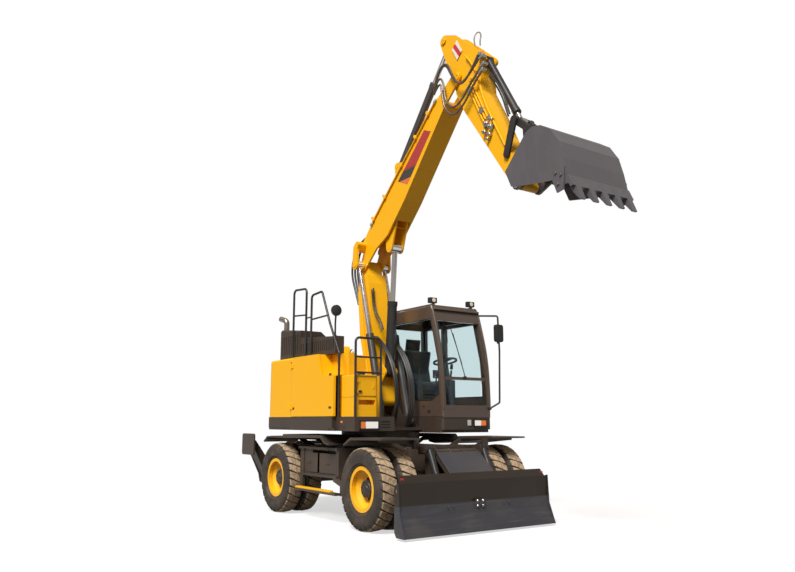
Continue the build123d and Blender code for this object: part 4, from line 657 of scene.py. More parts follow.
def lug_bmesh(slant, pitch):
    """One lug at the top of the wheel, reaching from the middle of the tread down the shoulder."""
    bm = bmesh.new()
    w = TYRE_HALF_W
    # y across, half width along the tread as a share of the pitch, top radius, foot radius
    sections = [(0.004, 0.44, TYRE_R - 0.0005, 0.49), (w - 0.080, 0.41, TYRE_R - 0.0018, 0.49),
                (w - 0.038, 0.37, TYRE_R - 0.0065, 0.48), (w - 0.013, 0.33, 0.488, 0.46),
                (w - 0.0045, 0.29, 0.462, 0.44), (w - 0.003, 0.24, 0.436, 0.43)]
    rows = []
    for y, share, top, foot in sections:
        half = share * pitch
        middle, crown = slant * (y - w / 2), half * 0.93
        outline = ((-half, foot), (-half, top - 0.004), (-crown, top), (crown, top), (half, top - 0.004),
                   (half, foot))
        rows.append([bm.verts.new((middle + s, y + (0 if r == top else 0.002), r)) for s, r in outline])
    for a, b in zip(rows, rows[1:]):
        for i in range(5):
            bm.faces.new((a[i], a[i + 1], b[i + 1], b[i]))
    bm.faces.new(rows[0])
    bm.faces.new(rows[-1][::-1])
    return bm


class EXCAVATOR_OT_tyres(bpy.types.Operator):
    """Make the twin tyres with two rows of slanted lugs, in place of the plain solids"""
    bl_idname = "excavator.tyres"
    bl_label = "Tyres"

    def execute(self, context):
        tread = context.scene.excavator_tread
        pitch = tau * TYRE_R / tread.lug_count
        for wheel, axle_x, sign in WHEELS:
            bm = bmesh.new()
            for y in TWIN_Y:
                centre = (axle_x, sign * y, TYRE_R)
                lathe(bm, tyre_profile(tread.groove), centre, 72)
                for turn in (0.0, pi):
                    lug = lug_bmesh(tread.lug_slant, pitch)
                    bmesh.ops.rotate(lug, verts=lug.verts, matrix=Matrix.Rotation(turn, 3, "Z"))
                    ring(bm, lug, tread.lug_count, centre, turn / tread.lug_count, "tyre_rubber")
            tyre = piece(f"tyre_pair_{wheel}", bm, "tyre_rubber", "tyre_rubber", f"wheel_{wheel}", smooth=32)
            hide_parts(f"tyres_{wheel}")
        return {"FINISHED"}


class EXCAVATOR_OT_hubs(bpy.types.Operator):
    """Make the black planetary hubs with their bolts, and the wheel nuts"""
    bl_idname = "excavator.hubs"
    bl_label = "Hubs and wheel nuts"

    def execute(self, context):
        shell = [(1.040, 0.112), (1.040, 0.121), (1.086, 0.121), (1.090, 0.116), (1.150, 0.114),
                 (1.158, 0.106), (1.160, 0.060), (1.166, 0.056), (1.168, 0.001), (1.130, 0.001)]
        wheel_nuts = context.scene.excavator_fittings.wheel_nuts
        for wheel, axle_x, sign in WHEELS:
            centre = (axle_x, 0.0, TYRE_R)
            bm = made((lathe, [(sign * y, r) for y, r in shell], centre, 40))
            piece(f"hub_{wheel}", bm, "black_steel", "dark_paint", f"wheel_{wheel}", smooth=30)
            bolts = bmesh.new()
            for count, radius, y, head in ((wheel_nuts, 0.134, DISC_Y, 0.013), (8, 0.088, 1.157, 0.008)):
                nut = made((hexagon, (0, sign * y, radius), (0, sign, 0), head, head * 1.5))
                ring(bolts, nut, count, centre, 0.2, "zinc")
            drum(bolts, *[(axle_x + 0.02, sign * y, TYRE_R) for y in (1.167, 1.174)], 0.012, 6)
            piece(f"wheel_bolts_{wheel}", bolts, "black_steel", "dark_paint", f"wheel_{wheel}", smooth=30)
        return {"FINISHED"}


# Cab

def pane(bm, outline, y, thickness):
    """A pane in side view: its outline of (x, z) pairs, set in at y."""
    prism(bm, level(y - thickness / 2, outline), (0, thickness, 0))


def cross_pane(bm, low, high, margin, thickness):
    """A pane across the cab between two (x, z) lines, clear of the side walls by a margin."""
    y0, y1 = CAB_Y0 + margin, CAB_Y1 - margin
    prism(bm, [(low[0], y0, low[1]), (low[0], y1, low[1]), (high[0], y1, high[1]), (high[0], y0, high[1])],
          (thickness, 0, 0))


class EXCAVATOR_OT_cab_glass(bpy.types.Operator):
    """Glaze the cab and its door, with rubber seals and the wiper"""
    bl_idname = "excavator.cab_glass"
    bl_label = "Cab glass"

    def execute(self, context):
        t, inset = context.scene.excavator_fittings.glass_thickness, 0.028
        right = [(-0.415, 2.015), (0.303, 2.015), (0.423, 1.699), (0.882, 1.697), (1.073, 1.787),
                 (1.057, 2.279), (0.884, 2.910), (-0.415, 2.910)]
        rear_left = [(-0.435, 2.015), (0.005, 2.015), (0.005, 2.910), (-0.435, 2.910)]
        door = [(0.118, 1.757), (0.961, 1.757), (0.959, 1.889), (0.963, 2.289), (0.817, 2.883),
                (0.118, 2.883)]
        bm = made((pane, right, CAB_Y0 + inset, t), (pane, rear_left, CAB_Y1 - inset, t),
                  (cross_pane, (1.128, 1.618), (1.102, 1.992), 0.060, -t),
                  (cross_pane, (1.098, 2.033), (0.912, 2.884), 0.060, -t),
                  (cross_pane, (-0.478, 2.148), (-0.478, 2.902), 0.088, t))
        piece("cab_glass", bm, "cab_glass", "cab_paint", smooth=0)
        piece("cab_door_glass", made((pane, door, CAB_Y1 - 0.020, t)), "cab_glass", "cab_paint", "cab_door",
              smooth=0)
        beads = bmesh.new()
        for outline, y in ((right, CAB_Y0 - 0.001), (rear_left, CAB_Y1 + 0.001)):
            for (x0, z0), (x1, z1) in zip(outline, outline[1:] + outline[:1]):
                drum(beads, (x0, y, z0), (x1, y, z1), 0.008, 8)
        piece("window_seals", beads, "hose_rubber", "cab_paint")
        self.wiper()
        return {"FINISHED"}

    def wiper(self):
        """The wiper arm, its blade and its motor cover on the windscreen."""
        foot, tip = Vector((1.128, CAB_MIDDLE_Y - 0.02, 2.030)), Vector((0.990, CAB_MIDDLE_Y - 0.14, 2.700))
        bm = made((drum, foot - Vector((0.01, 0, 0)), foot + Vector((0.025, 0, 0)), 0.022, 16, None, 0.004),
                  (drum, foot + Vector((0.016, 0, 0)), tip + Vector((0.018, 0, 0)), 0.007, 8),
                  (drum, foot.lerp(tip, 0.30) + Vector((0.004, 0.02, 0)),
                   foot.lerp(tip, 1.10) + Vector((0.004, -0.004, 0)), 0.006, 8))
        piece("wiper", bm, "black_plastic", "cab_paint")


def cushion(half, crown):
    """A crowned pad whose sides pull in between its corners, with sewn channels."""
    bm = bmesh.new()
    steps, pull = 12, 0.035
    hx, hy, hz = half
    grid = {}
    for face in (1, -1):
        for i in range(steps + 1):
            for j in range(steps + 1):
                u, v = 2 * i / steps - 1, 2 * j / steps - 1
                rise = (1 - u ** 4) * (1 - v ** 4)
                z = face * hz * (0.45 + 0.55 * rise ** 0.5)
                if face > 0:
                    channel = 0.010 * (1 - min(1.0, abs(abs(v) - 0.45) / 0.09))
                    z += (crown - channel) * rise
                grid[face, i, j] = bm.verts.new((u * hx * (1 - pull * (1 - v * v)),
                                                 v * hy * (1 - pull * (1 - u * u)), z))
    for face in (1, -1):
        for i in range(steps):
            for j in range(steps):
                bm.faces.new([grid[face, a, b] for a, b in ((i, j), (i + 1, j), (i + 1, j + 1), (i, j + 1))])
    rim = [(i, 0) for i in range(steps)] + [(steps, j) for j in range(steps)]
    rim += [(steps - i, steps) for i in range(steps)] + [(0, steps - j) for j in range(steps)]
    for (a, b), (c, d) in zip(rim, rim[1:] + rim[:1]):
        bm.faces.new((grid[1, a, b], grid[1, c, d], grid[-1, c, d], grid[-1, a, b]))
    return bm


class EXCAVATOR_OT_cab_inside(bpy.types.Operator):
    """Upholster the seat and add levers, pedals and screen to the cab"""
    bl_idname = "excavator.cab_inside"
    bl_label = "Cab inside"

    def execute(self, context):
        y, floor = CAB_MIDDLE_Y, CAB_FLOOR_Z
        # Name, middle, lean in degrees, half sizes, crown
        for name, middle, lean, half, crown in (
                ("seat_cushion", (0.130, y, floor + 0.408), 0, (0.275, 0.262, 0.095), 0.030),
                ("seat_back", (-0.142, y, floor + 0.720), -78, (0.345, 0.252, 0.085), 0.025),
                ("head_rest", (-0.215, y, floor + 1.150), -80, (0.10, 0.14, 0.05), 0.015)):
            pad = cushion(half, crown)
            place = Matrix.Translation(middle) @ Matrix.Rotation(radians(lean), 4, "Y")
            bmesh.ops.transform(pad, verts=pad.verts, matrix=place)
            piece(name, pad, "seat_cloth", "seat_black", smooth=60, soften=1)
        bm = bmesh.new()
        for s in (-1, 1):
            top = Vector((0.392, y + s * 0.320, floor + 0.735))
            drum(bm, top, top + Vector((0.012, 0, 0.085)), 0.026, 16, 0.021, 0.006)
            for k in range(4):
                x, across = 0.20 + 0.045 * k, y + s * 0.35
                box(bm, (x, across - 0.012, floor + 0.561), (x + 0.028, across + 0.012, floor + 0.570))
            pedal = [(x, floor + z) for x, z in ((0.83, 0.02), (0.93, 0.13), (0.94, 0.12), (0.85, 0.01))]
            prism(bm, level(y + s * 0.16 - 0.04, pedal), (0, 0.08, 0))
        drum(bm, (-0.205, y, floor + 1.02), (-0.215, y, floor + 1.12), 0.010, 10)
        piece("cab_controls", bm, "black_plastic", "cab_paint", bevel=0.002)
        wall = CAB_Y0
        bm = made((box, (0.86, wall + 0.048, 2.02), (0.90, wall + 0.20, 2.14)),
                  (drum, (0.88, wall + 0.10, 1.70), (0.88, wall + 0.10, 2.03), 0.012, 10),
                  (box, (0.62, wall + 0.045, 1.47), (1.04, wall + 0.125, 1.72)))
        piece("cab_screen", bm, "trim_plastic", "cab_paint", bevel=0.004)
        return {"FINISHED"}


class EXCAVATOR_OT_cab_outside(bpy.types.Operator):
    """Add the roof edge, pillar tubes, handle, seam and latches to the cab"""
    bl_idname = "excavator.cab_outside"
    bl_label = "Cab outside"

    def execute(self, context):
        brow = [(0.885, 3.100), (0.945, 3.078), (0.955, 3.052), (0.885, 3.060)]
        bm = made((prism, level(CAB_Y0 + 0.02, brow), (0, CAB_Y1 - CAB_Y0 - 0.04, 0)))
        # Gutters and hatch: x from and to, y middle, half width, height above the roof
        for x0, x1, y, half, above in ((-0.40, 0.86, CAB_Y0 + 0.03, 0.012, 0.012),
                                       (-0.40, 0.86, CAB_Y1 - 0.03, 0.012, 0.012),
                                       (-0.10, 0.50, CAB_MIDDLE_Y, 0.24, 0.016)):
            box(bm, (x0, y - half, CAB_TOP - 0.002), (x1, y + half, CAB_TOP + above))
        piece("cab_roof_trim", bm, "cab_paint", "cab_paint", bevel=0.005)
        pillar = [(x - 0.012, z) for x, z in
                  ((1.160, 1.560), (1.158, 1.80), (1.128, 2.28), (1.03, 2.70), (0.918, 3.055))]
        for name, y in (("right", CAB_Y0 + 0.020), ("left", CAB_Y1 - 0.020)):
            piece(f"pillar_tube_{name}", made((tube, level(y, pillar), 0.020)), "cab_paint", "cab_paint",
                  recalc=False)
        x, y, low, high = 0.985, CAB_Y1 + 0.030, 1.78, 2.18
        bm = made((drum, (x, y, low), (x, y, high), 0.011, 12),
                  *[(drum, (x, CAB_Y1 - 0.004, z), (x, y, z), 0.011, 12) for z in (low, high)])
        piece("cab_door_grip", bm, "black_plastic", "cab_paint", "cab_door")
        # Latch, lock and seam on the lower right panel
        y = CAB_Y0
        bm = made((box, (0.66, y - 0.006, 1.60), (0.72, y + 0.002, 1.615)),
                  (box, (0.80, y - 0.006, 1.515), (0.86, y + 0.002, 1.545)),
                  (box, (-0.46, y - 0.002, 1.448), (1.155, y + 0.002, 1.456)))
        piece("cab_panel_marks", bm, "black_plastic", "cab_paint")
        return {"FINISHED"}


# Body: lamps, latches, wire mesh, mirrors, deck

class EXCAVATOR_OT_lamps(bpy.types.Operator):
    """Put lenses on the lamp blocks and roof lamps, with the side marker and a blank sign"""
    bl_idname = "excavator.lamps"
    bl_label = "Lamps"

    def execute(self, context):
        # Front face of each block: x, then the y spans of white and orange, then z span
        for name, face_x, white, orange, low, high in (
                ("right", FRONT_X + 0.016, (-1.018, -0.822), (-1.098, -1.022), 1.290, 1.382),
                ("left", CAB_X1 + 0.008, (0.905, 1.030), (1.034, 1.130), 1.318, 1.398)):
            for kind, (y0, y1) in (("white", white), ("orange", orange)):
                lens = made((box, (face_x - 0.002, y0, low), (face_x + 0.006, y1, high)))
                piece(f"{kind}_lens_{name}", lens, f"{kind}_lens", "lamp_black", bevel=0.004)
            y0, y1 = min(white[0], orange[0]) - 0.012, max(white[1], orange[1]) + 0.012
            z0, z1 = low - 0.014, high + 0.014
            bars = ((y0, y1, z0, z0 + 0.011), (y0, y1, z1 - 0.011, z1), (y0, y0 + 0.009, z0, z1),
                    (y1 - 0.009, y1, z0, z1))
            piece(f"lamp_frame_{name}", made(*[(box, (face_x - 0.002, a, c), (face_x + 0.009, b, d))
                                               for a, b, c, d in bars]), "black_plastic", "lamp_black")
        lenses, rims = bmesh.new(), bmesh.new()
        z = CAB_TOP + 0.078
        for y in (CAB_Y0 + 0.090, CAB_Y1 - 0.090):
            drum(lenses, (0.848, y, z), (0.857, y, z), 0.036, 24, 0.030)
            drum(rims, (0.846, y, z), (0.853, y, z), 0.040, 24)
            for k in range(5):
                x = 0.782 + 0.012 * k
                box(rims, (x, y - 0.063, CAB_TOP + 0.036), (x + 0.005, y + 0.063, CAB_TOP + 0.120))
        piece("roof_lamp_lenses", lenses, "warm_lens", "lamp_black")
        piece("roof_lamp_rims", rims, "black_plastic", "lamp_black")
        piece("side_marker", made((box, (0.905, -HALF_W - 0.006, 1.362), (0.955, -HALF_W + 0.001, 1.390))),
              "orange_lens", "lamp_black", bevel=0.003)
        piece("blank_sign", made((box, (CAB_X1 - 0.006, 0.780, 1.320), (CAB_X1 + 0.004, 0.845, 1.402))),
              "blank_plate", "cab_paint", bevel=0.003)
        return {"FINISHED"}


class EXCAVATOR_OT_body_details(bpy.types.Operator):
    """Add black strips that paint the shade of slots, and latches, wire mesh, mirrors and the deck's
    fittings, to the body
    """
    bl_idname = "excavator.body_details"
    bl_label = "Body details"

    def execute(self, context):
        bm = bmesh.new()
        # Three black strips on the front face stand for its slots: their black is painted shade of the
        # openings
        row(bm, made((box, (0, 0, 0), (0.006, 0.150, 0.012))), 3, (FRONT_X - 0.002, -0.760, 1.300),
            (0, 0, 0.040), "black_plastic")
        for x, z in ((0.60, 2.02), (0.60, 1.56), (-0.52, 1.56)):
            box(bm, (x - 0.035, -HALF_W - 0.005, z), (x + 0.035, -HALF_W + 0.002, z + 0.030))
        box(bm, (TANK_FRONT_X + 0.004, -1.105, 1.77), (TANK_FRONT_X + 0.022, -1.06, 1.80))
        piece("body_latches_and_slot_shade", bm, "black_plastic", "dark_paint", bevel=0.003)
        # Wire mesh behind the slots of hood and intake box
        cell, back_y = 0.016, -1.080
        for name, body, x0, x1, z0, z1 in (("intake", "platform", -0.575, 0.470, 2.40, 2.570),
                                           ("hood", "hood", -1.245, -0.640, 2.40, 2.730)):
            bm = bmesh.new()
            row(bm, made((box, (0, 0, 0), (0.004, 0.004, z1 - z0))), int((x1 - x0) / cell), (x0, back_y, z0),
                (cell, 0, 0), "black_plastic")
            row(bm, made((box, (0, 0, 0), (x1 - x0, 0.003, 0.004))), int((z1 - z0) / cell),
                (x0, back_y + 0.004, z0), (0, 0, cell), "black_plastic")
            piece(f"{name}_mesh", bm, "black_plastic", "dark_paint", body, smooth=0)
        self.mirrors()
        self.deck()
        return {"FINISHED"}

    def mirrors(self):
        """The mirrors' glass, facing back, and their rims: the round right one and the tall left one."""
        y, z = -1.120, 2.960
        glass = made((drum, (0.508, y, z), (0.504, y, z), 0.072, 32))
        shell = made((drum, (0.512, y, z), (0.506, y, z), 0.081, 32),
                     (drum, (0.538, y, z), (0.556, y, z), 0.074, 32, 0.030))
        y, z = 1.344, 2.719
        outline = ((-1, -0.8), (-0.8, -1), (0.8, -1), (1, -0.8), (1, 0.8), (0.8, 1), (-0.8, 1), (-1, 0.8))
        prism(glass, [(1.236, y + 0.068 * a, z + 0.120 * b) for a, b in outline], (-0.003, 0, 0))
        prism(shell, [(1.276, y + 0.070 * a, z + 0.122 * b) for a, b in outline], (0.010, 0, 0))
        drum(shell, (1.250, y, 2.560), (1.250, y, 2.600), 0.024, 16)
        piece("mirror_glasses", glass, "mirror_glass", "chrome_rod")
        piece("mirror_shells", shell, "black_plastic", "dark_paint", bevel=0.004)

    def deck(self):
        """The lifting eye on the deck, filler cap, tread plate studs and the tail's fittings."""
        eye = [(0.170 + 0.045 * cos(a), -0.640, 2.400 + 0.045 * sin(a)) for a in
               [tau * k / 12 for k in range(-1, 8)]]
        bm = made((tube, [(0.165, -0.640, 2.346), *eye], 0.009, 4),
                  (drum, (0.165, -0.640, 2.344), (0.165, -0.640, 2.362), 0.030, 6))
        piece("deck_eye", bm, "zinc", "chrome_rod", recalc=False)
        bm = made((drum, (0.930, -0.940, 2.008), (0.930, -0.940, 2.042), 0.055, 24, None, 0.006),
                  (drum, (0.930, -0.940, 2.040), (0.930, -0.940, 2.056), 0.030, 6))
        piece("filler_cap", bm, "black_plastic", "dark_paint")
        bm = bmesh.new()
        for (x, y, z), count_x, count_y in (((0.290, -0.960, 2.348), 9, 1), ((0.775, -1.120, 2.0115), 8, 7)):
            for k in range(count_y):
                row(bm, made((drum, (0, 0, -0.002), (0, 0, 0.004), 0.011, 10, 0.007)), count_x,
                    (x, y + 0.048 * k, z), (0.042, 0, 0), "zinc")
        piece("tread_studs", bm, "zinc", "chrome_rod")
        bm = bmesh.new()
        for z in (1.56, 2.22):
            box(bm, (-0.640, -HALF_W - 0.003, z), (-0.604, -HALF_W + 0.004, z + 0.06))
        for y in (-0.45, 0.45):
            drum(bm, (-1.55, y, SIDE_TOP - 0.004), (-1.55, y, SIDE_TOP + 0.014), 0.040, 20, None, 0.004)
        piece("tail_fittings", bm, "black_plastic", "dark_paint", bevel=0.002)


# Chassis and blade

class EXCAVATOR_OT_undercarriage(bpy.types.Operator):
    """Add the step's yellow wrap, slewing ring bolts and box lids"""
    bl_idname = "excavator.undercarriage"
    bl_label = "Undercarriage"

    def execute(self, context):
        bolts, wraps, lids = bmesh.new(), bmesh.new(), bmesh.new()
        count, radius, ring_top = 36, 0.585, 1.001
        step_y, bolt_y, lid_y, grip_y = 1.155, 1.081, 1.078, 1.086
        for a in [tau * k / count for k in range(count)]:
            hexagon(bolts, (radius * cos(a), radius * sin(a), ring_top), (0, 0, 1), 0.012, 0.014)
        for s in (-1, 1):
            box(wraps, (-0.505, s * step_y - 0.034, 0.384), (0.520, s * step_y + 0.034, 0.442))
            for x in (-0.50, -0.25, 0.0, 0.25, 0.52):
                hexagon(bolts, (x, s * bolt_y, 0.985), (0, s, 0), 0.010, 0.010)
            for x0, x1 in ((-0.52, -0.03), (0.03, 0.53)):
                x = (x0 + x1) / 2
                box(lids, (x0, s * lid_y - 0.004, 0.650), (x1, s * lid_y + 0.008, 0.930))
                box(lids, (x - 0.05, s * grip_y - 0.004, 0.775), (x + 0.05, s * grip_y + 0.008, 0.800))
        piece("step_wrap", wraps, "yellow_paint", "yellow_paint", "chassis", bevel=0.006)
        piece("chassis_bolts", bolts, "zinc", "chrome_rod", "chassis")
        piece("box_lids", lids, "frame_paint", "dark_paint", "chassis", bevel=0.004)
        return {"FINISHED"}


class EXCAVATOR_OT_blade_details(bpy.types.Operator):
    """Add the cutting edge, arm cover, centre bolts and red end markers to the blade"""
    bl_idname = "excavator.blade_details"
    bl_label = "Blade details"

    def execute(self, context):
        edge = [(2.3620, 0.100), (2.3825, 0.034), (2.3945, 0.034), (2.3730, 0.104)]
        half = BLADE_HALF_W - 0.016
        piece("cutting_edge", made((prism, level(-half, edge), (0, 2 * half, 0))), "blade_paint",
              "bucket_steel", "blade", bevel=0.002)
        half = 0.372
        sheet = [at(BLADE_PIVOT, BLADE_EYE, u, v, -half)
                 for u, v in ((0.055, 0.046), (0.455, 0.046), (0.455, 0.053), (0.055, 0.053))]
        piece("blade_arm_cover", made((prism, sheet, (0, 2 * half, 0))), "blade_paint_plain", "dark_paint",
              "blade_arm", bevel=0.002)
        piece("blade_bolts", made(*[(hexagon, (2.304, y, z), (1, 0, 0.1), 0.014, 0.016)
                                    for y in (-0.045, 0.045) for z in (0.335, 0.395)]),
              "zinc", "chrome_rod", "blade")
        piece("blade_markers", made(*[(box, (2.236, y, 0.690), (2.248, y + 0.040, 0.712))
                                      for y in (-1.190, 1.150)]), "red_marker", "lamp_black", "blade",
              bevel=0.002)
        return {"FINISHED"}


# Arm: hoses, pipes, clamps, valves, signs

BOOM_PIPES = ((BOOM_SIDE + 0.016, -0.022), (BOOM_SIDE - 0.030, 0.019), (BOOM_SIDE - 0.068, 0.019))
HOSE = {"recalc": False, "slot": "tyre_rubber"}
PIPE = {"recalc": False, "slot": "yellow_paint", "material": "yellow_paint"}
ELBOW_ROUTES = (
    ((1.700, 6.165), (1.800, 6.360), (1.990, 6.440), (2.130, 6.180), (2.270, 6.000), (2.460, 6.030),
     (2.700, 6.240)),
    ((1.690, 6.120), (1.830, 6.300), (1.960, 6.150), (1.990, 5.860), (2.150, 5.680), (2.330, 5.720),
     (2.520, 5.920), (2.740, 6.080)),
    ((1.680, 6.080), (1.850, 6.240), (1.900, 6.000), (1.960, 5.750), (2.160, 5.560), (2.400, 5.680),
     (2.560, 5.880), (2.730, 6.020)),
    ((1.710, 6.190), (1.820, 6.400), (2.040, 6.440), (2.180, 6.140), (2.320, 5.960), (2.500, 6.040),
     (2.680, 6.280)))


class EXCAVATOR_OT_arm_lines(bpy.types.Operator):
    """Lay the hard pipes and hoses along boom and stick and round the knee and elbow"""
    bl_idname = "excavator.arm_lines"
    bl_label = "Arm hoses and pipes"

    def execute(self, context):
        fittings = context.scene.excavator_fittings
        self.pipes(fittings.pipe_radius)
        self.hoses(fittings.hose_radius)
        self.couplings(fittings.hose_radius)
        return {"FINISHED"}

    def pipes(self, r):
        """Yellow hard pipes on both upper sides of the boom, and down the stick's right side."""
        bm, clamps = bmesh.new(), bmesh.new()
        top = [(0.62, 0.300), (1.40, 0.275), (2.70, 0.208), (2.85, 0.200)]
        for s in (-1, 1):
            for y, above in BOOM_PIPES:
                tube(bm, [at(KNEE, ELBOW, u, v + above, s * y) for u, v in top], r, 8, 2)
            for u, v in ((0.72, 0.297), (1.15, 0.283), (1.75, 0.257), (2.25, 0.231), (2.66, 0.210)):
                for low, depth in ((-0.045, 0.032), (0.028, 0.130)):
                    corners = [at(KNEE, ELBOW, u + a, v + b, s * (BOOM_SIDE + 0.036))
                               for a, b in ((-0.020, low), (0.020, low), (0.020, 0.038), (-0.020, 0.038))]
                    prism(clamps, corners, (0, -s * depth, 0))
        piece("boom_pipes", bm, body="upper_boom", **PIPE)
        piece("boom_pipe_clamps", clamps, "yellow_paint", "yellow_paint", "upper_boom", bevel=0.003)
        bm, clamps = bmesh.new(), bmesh.new()
        for k, v in enumerate((0.105, 0.060, 0.015)):
            run = [(0.26 + 0.04 * k, v + 0.10), (0.36 + 0.04 * k, v + 0.06), (0.7, v + 0.03), (1.02, v)]
            tube(bm, [at(ELBOW, TIP, u, w, -STICK_SIDE - 0.018) for u, w in run], r)
        run = [(-0.10, 0.30), (0.25, 0.345), (0.70, 0.190), (1.3, 0.130), (1.62, 0.110)]
        tube(bm, [at(ELBOW, TIP, u, w, -STICK_SIDE - 0.016) for u, w in run], r)
        piece("stick_pipes", bm, body="stick", **PIPE)
        for u, v in ((0.42, 0.10), (0.85, 0.075)):
            middle = at(ELBOW, TIP, u, v, -STICK_SIDE)
            prism(clamps, [middle + Vector((a, 0, b)) for a, b in
                           ((-0.05, -0.02), (0.03, -0.05), (0.06, 0.02), (-0.02, 0.06))], (0, -0.036, 0))
        piece("stick_pipe_clamps", clamps, "zinc", "chrome_rod", "stick", bevel=0.003)
        bm = bmesh.new()
        for s in (-1, 1):
            for k in range(2):
                run = [(0.42, 0.10 + 0.05 * k), (0.60, 0.14 + 0.05 * k), (1.4, 0.13 + 0.04 * k),
                       (1.85, 0.08 + 0.04 * k)]
                tube(bm, [at(FOOT, KNEE, u, w, s * (LOWER_SIDE + 0.016)) for u, w in run], r)
        piece("lower_boom_pipes", bm, body="lower_boom", **PIPE)

    def hoses(self, r):
        """Hoses over elbow and knee, from the platform to the lower boom, and beside its front plate."""
        for k, route in enumerate(ELBOW_ROUTES):
            y, last = -BOOM_SIDE - 0.035 - 0.012 * (k % 2), len(route) - 1
            points = [(x, y - 0.03 * sin(pi * i / last), z) for i, (x, z) in enumerate(route)]
            piece(f"elbow_hose_{k + 1}", made((tube, points, r * 0.9)), "braided_hose", **HOSE,
                  blend=("upper_boom", "stick", (1.85, -0.2, 6.10), (2.50, -0.2, 6.05)))
        for k in range(6):
            y, out = (0.055 + 0.045 * (k % 3)) * (-1 if k < 3 else 1), 0.02 * (k % 3)
            route = [(-0.440, 3.250), (-0.540, 3.480), (-0.640 - out, 3.800), (-0.600, 4.120),
                     (-0.400, 4.280), (-0.215, 4.330)]
            piece(f"knee_hose_{k + 1}", made((tube, level(y, route), r)), "hose_rubber", **HOSE,
                  blend=("lower_boom", "upper_boom", (-0.45, 0, 3.45), (-0.40, 0, 4.25)))
        for k in range(6):
            y, out = (0.108, 0.137, 0.164)[k % 3] * (1 if k < 3 else -1), 0.012 * (k % 3)
            route = [(0.500, 1.300), (0.600 + out, 1.480), (0.640 + out, 1.720), (0.600 + out, 2.000),
                     (0.500 + out, 2.250), (0.350 + out, 2.450), (0.190, 2.600), (0.060, 2.680)]
            piece(f"foot_hose_{k + 1}", made((tube, level(y, route), r)), "hose_rubber", **HOSE,
                  blend=("platform", "lower_boom", (0.62, 0, 1.55), (0.30, 0, 2.50)))
        # Two cables curve along the lower boom's front plate, two hoses run beside the bucket cylinder
        route = [(-0.070, 3.480), (-0.045, 3.240), (0.035, 3.040), (0.165, 2.920), (0.215, 2.780)]
        piece("lower_boom_cable", made(*[(tube, [(x, -0.100 - d, z - d) for x, z in route], 0.011)
                                         for d in (0.0, 0.030)]), "hose_rubber", body="lower_boom", **HOSE)
        route = [(2.800, 5.990), (2.950, 5.780), (3.060, 5.560), (3.110, 5.400), (3.150, 5.290)]
        pair = [[(x - d, -0.105 + d * 0.4, z - d * 0.3) for x, z in route] for d in (0.0, 0.045)]
        piece("bucket_cylinder_hose", made(*[(tube, points, r * 0.75) for points in pair]), "hose_rubber",
              body="bucket_cylinder_barrel", **HOSE)

    def couplings(self, r):
        """The valve block's couplings on the stick's right side, and the ends of hoses and pipes."""
        bm = bmesh.new()
        block = at(ELBOW, TIP, 1.10, 0.040, -STICK_SIDE)
        for dx, dz, radius in ((0.0, 0.0, 0.040), (0.075, -0.060, 0.032), (-0.035, -0.105, 0.030),
                               (0.060, -0.165, 0.026), (0.110, 0.030, 0.024), (0.020, -0.215, 0.020)):
            seat = block + Vector((dx, 0, dz))
            nut = [seat + Vector((0, y, 0)) for y in (-0.050, -0.078)]
            drum(bm, seat, seat + Vector((0, -0.055, 0)), radius, 20, None, 0.004)
            drum(bm, *nut, radius * 0.62, 6, None, 0.002)
        for dx, dz in ((0.03, 0.05), (-0.04, -0.05), (0.09, -0.11)):
            seat = block + Vector((dx, -0.028, dz))
            drum(bm, seat, seat + Vector((0.03, 0, 0.07)), 0.017, 8)
        for end in ((2.735, -0.185, 6.250), (2.760, -0.185, 6.130), (2.745, -0.195, 6.045),
                    (2.700, -0.190, 6.290)):
            end = Vector(end)
            drum(bm, end + Vector((0, 0.062, 0)), end - Vector((0, 0.025, 0)), 0.026, 12, None, 0.003)
            drum(bm, end + Vector((-0.05, -0.012, -0.03)), end + Vector((0.02, -0.008, 0.012)), 0.020, 8)
        piece("stick_couplings", bm, "zinc", "chrome_rod", "stick")
        bm = bmesh.new()
        for s in (-1, 1):
            for y, above in BOOM_PIPES:
                for u, v in ((0.60, 0.300), (2.84, 0.200)):
                    ends = [at(KNEE, ELBOW, u + along, v + above, s * y) for along in (0, 0.06)]
                    drum(bm, *ends, r * 1.3, 6, None, 0.002)
        piece("boom_couplings", bm, "zinc", "chrome_rod", "upper_boom")


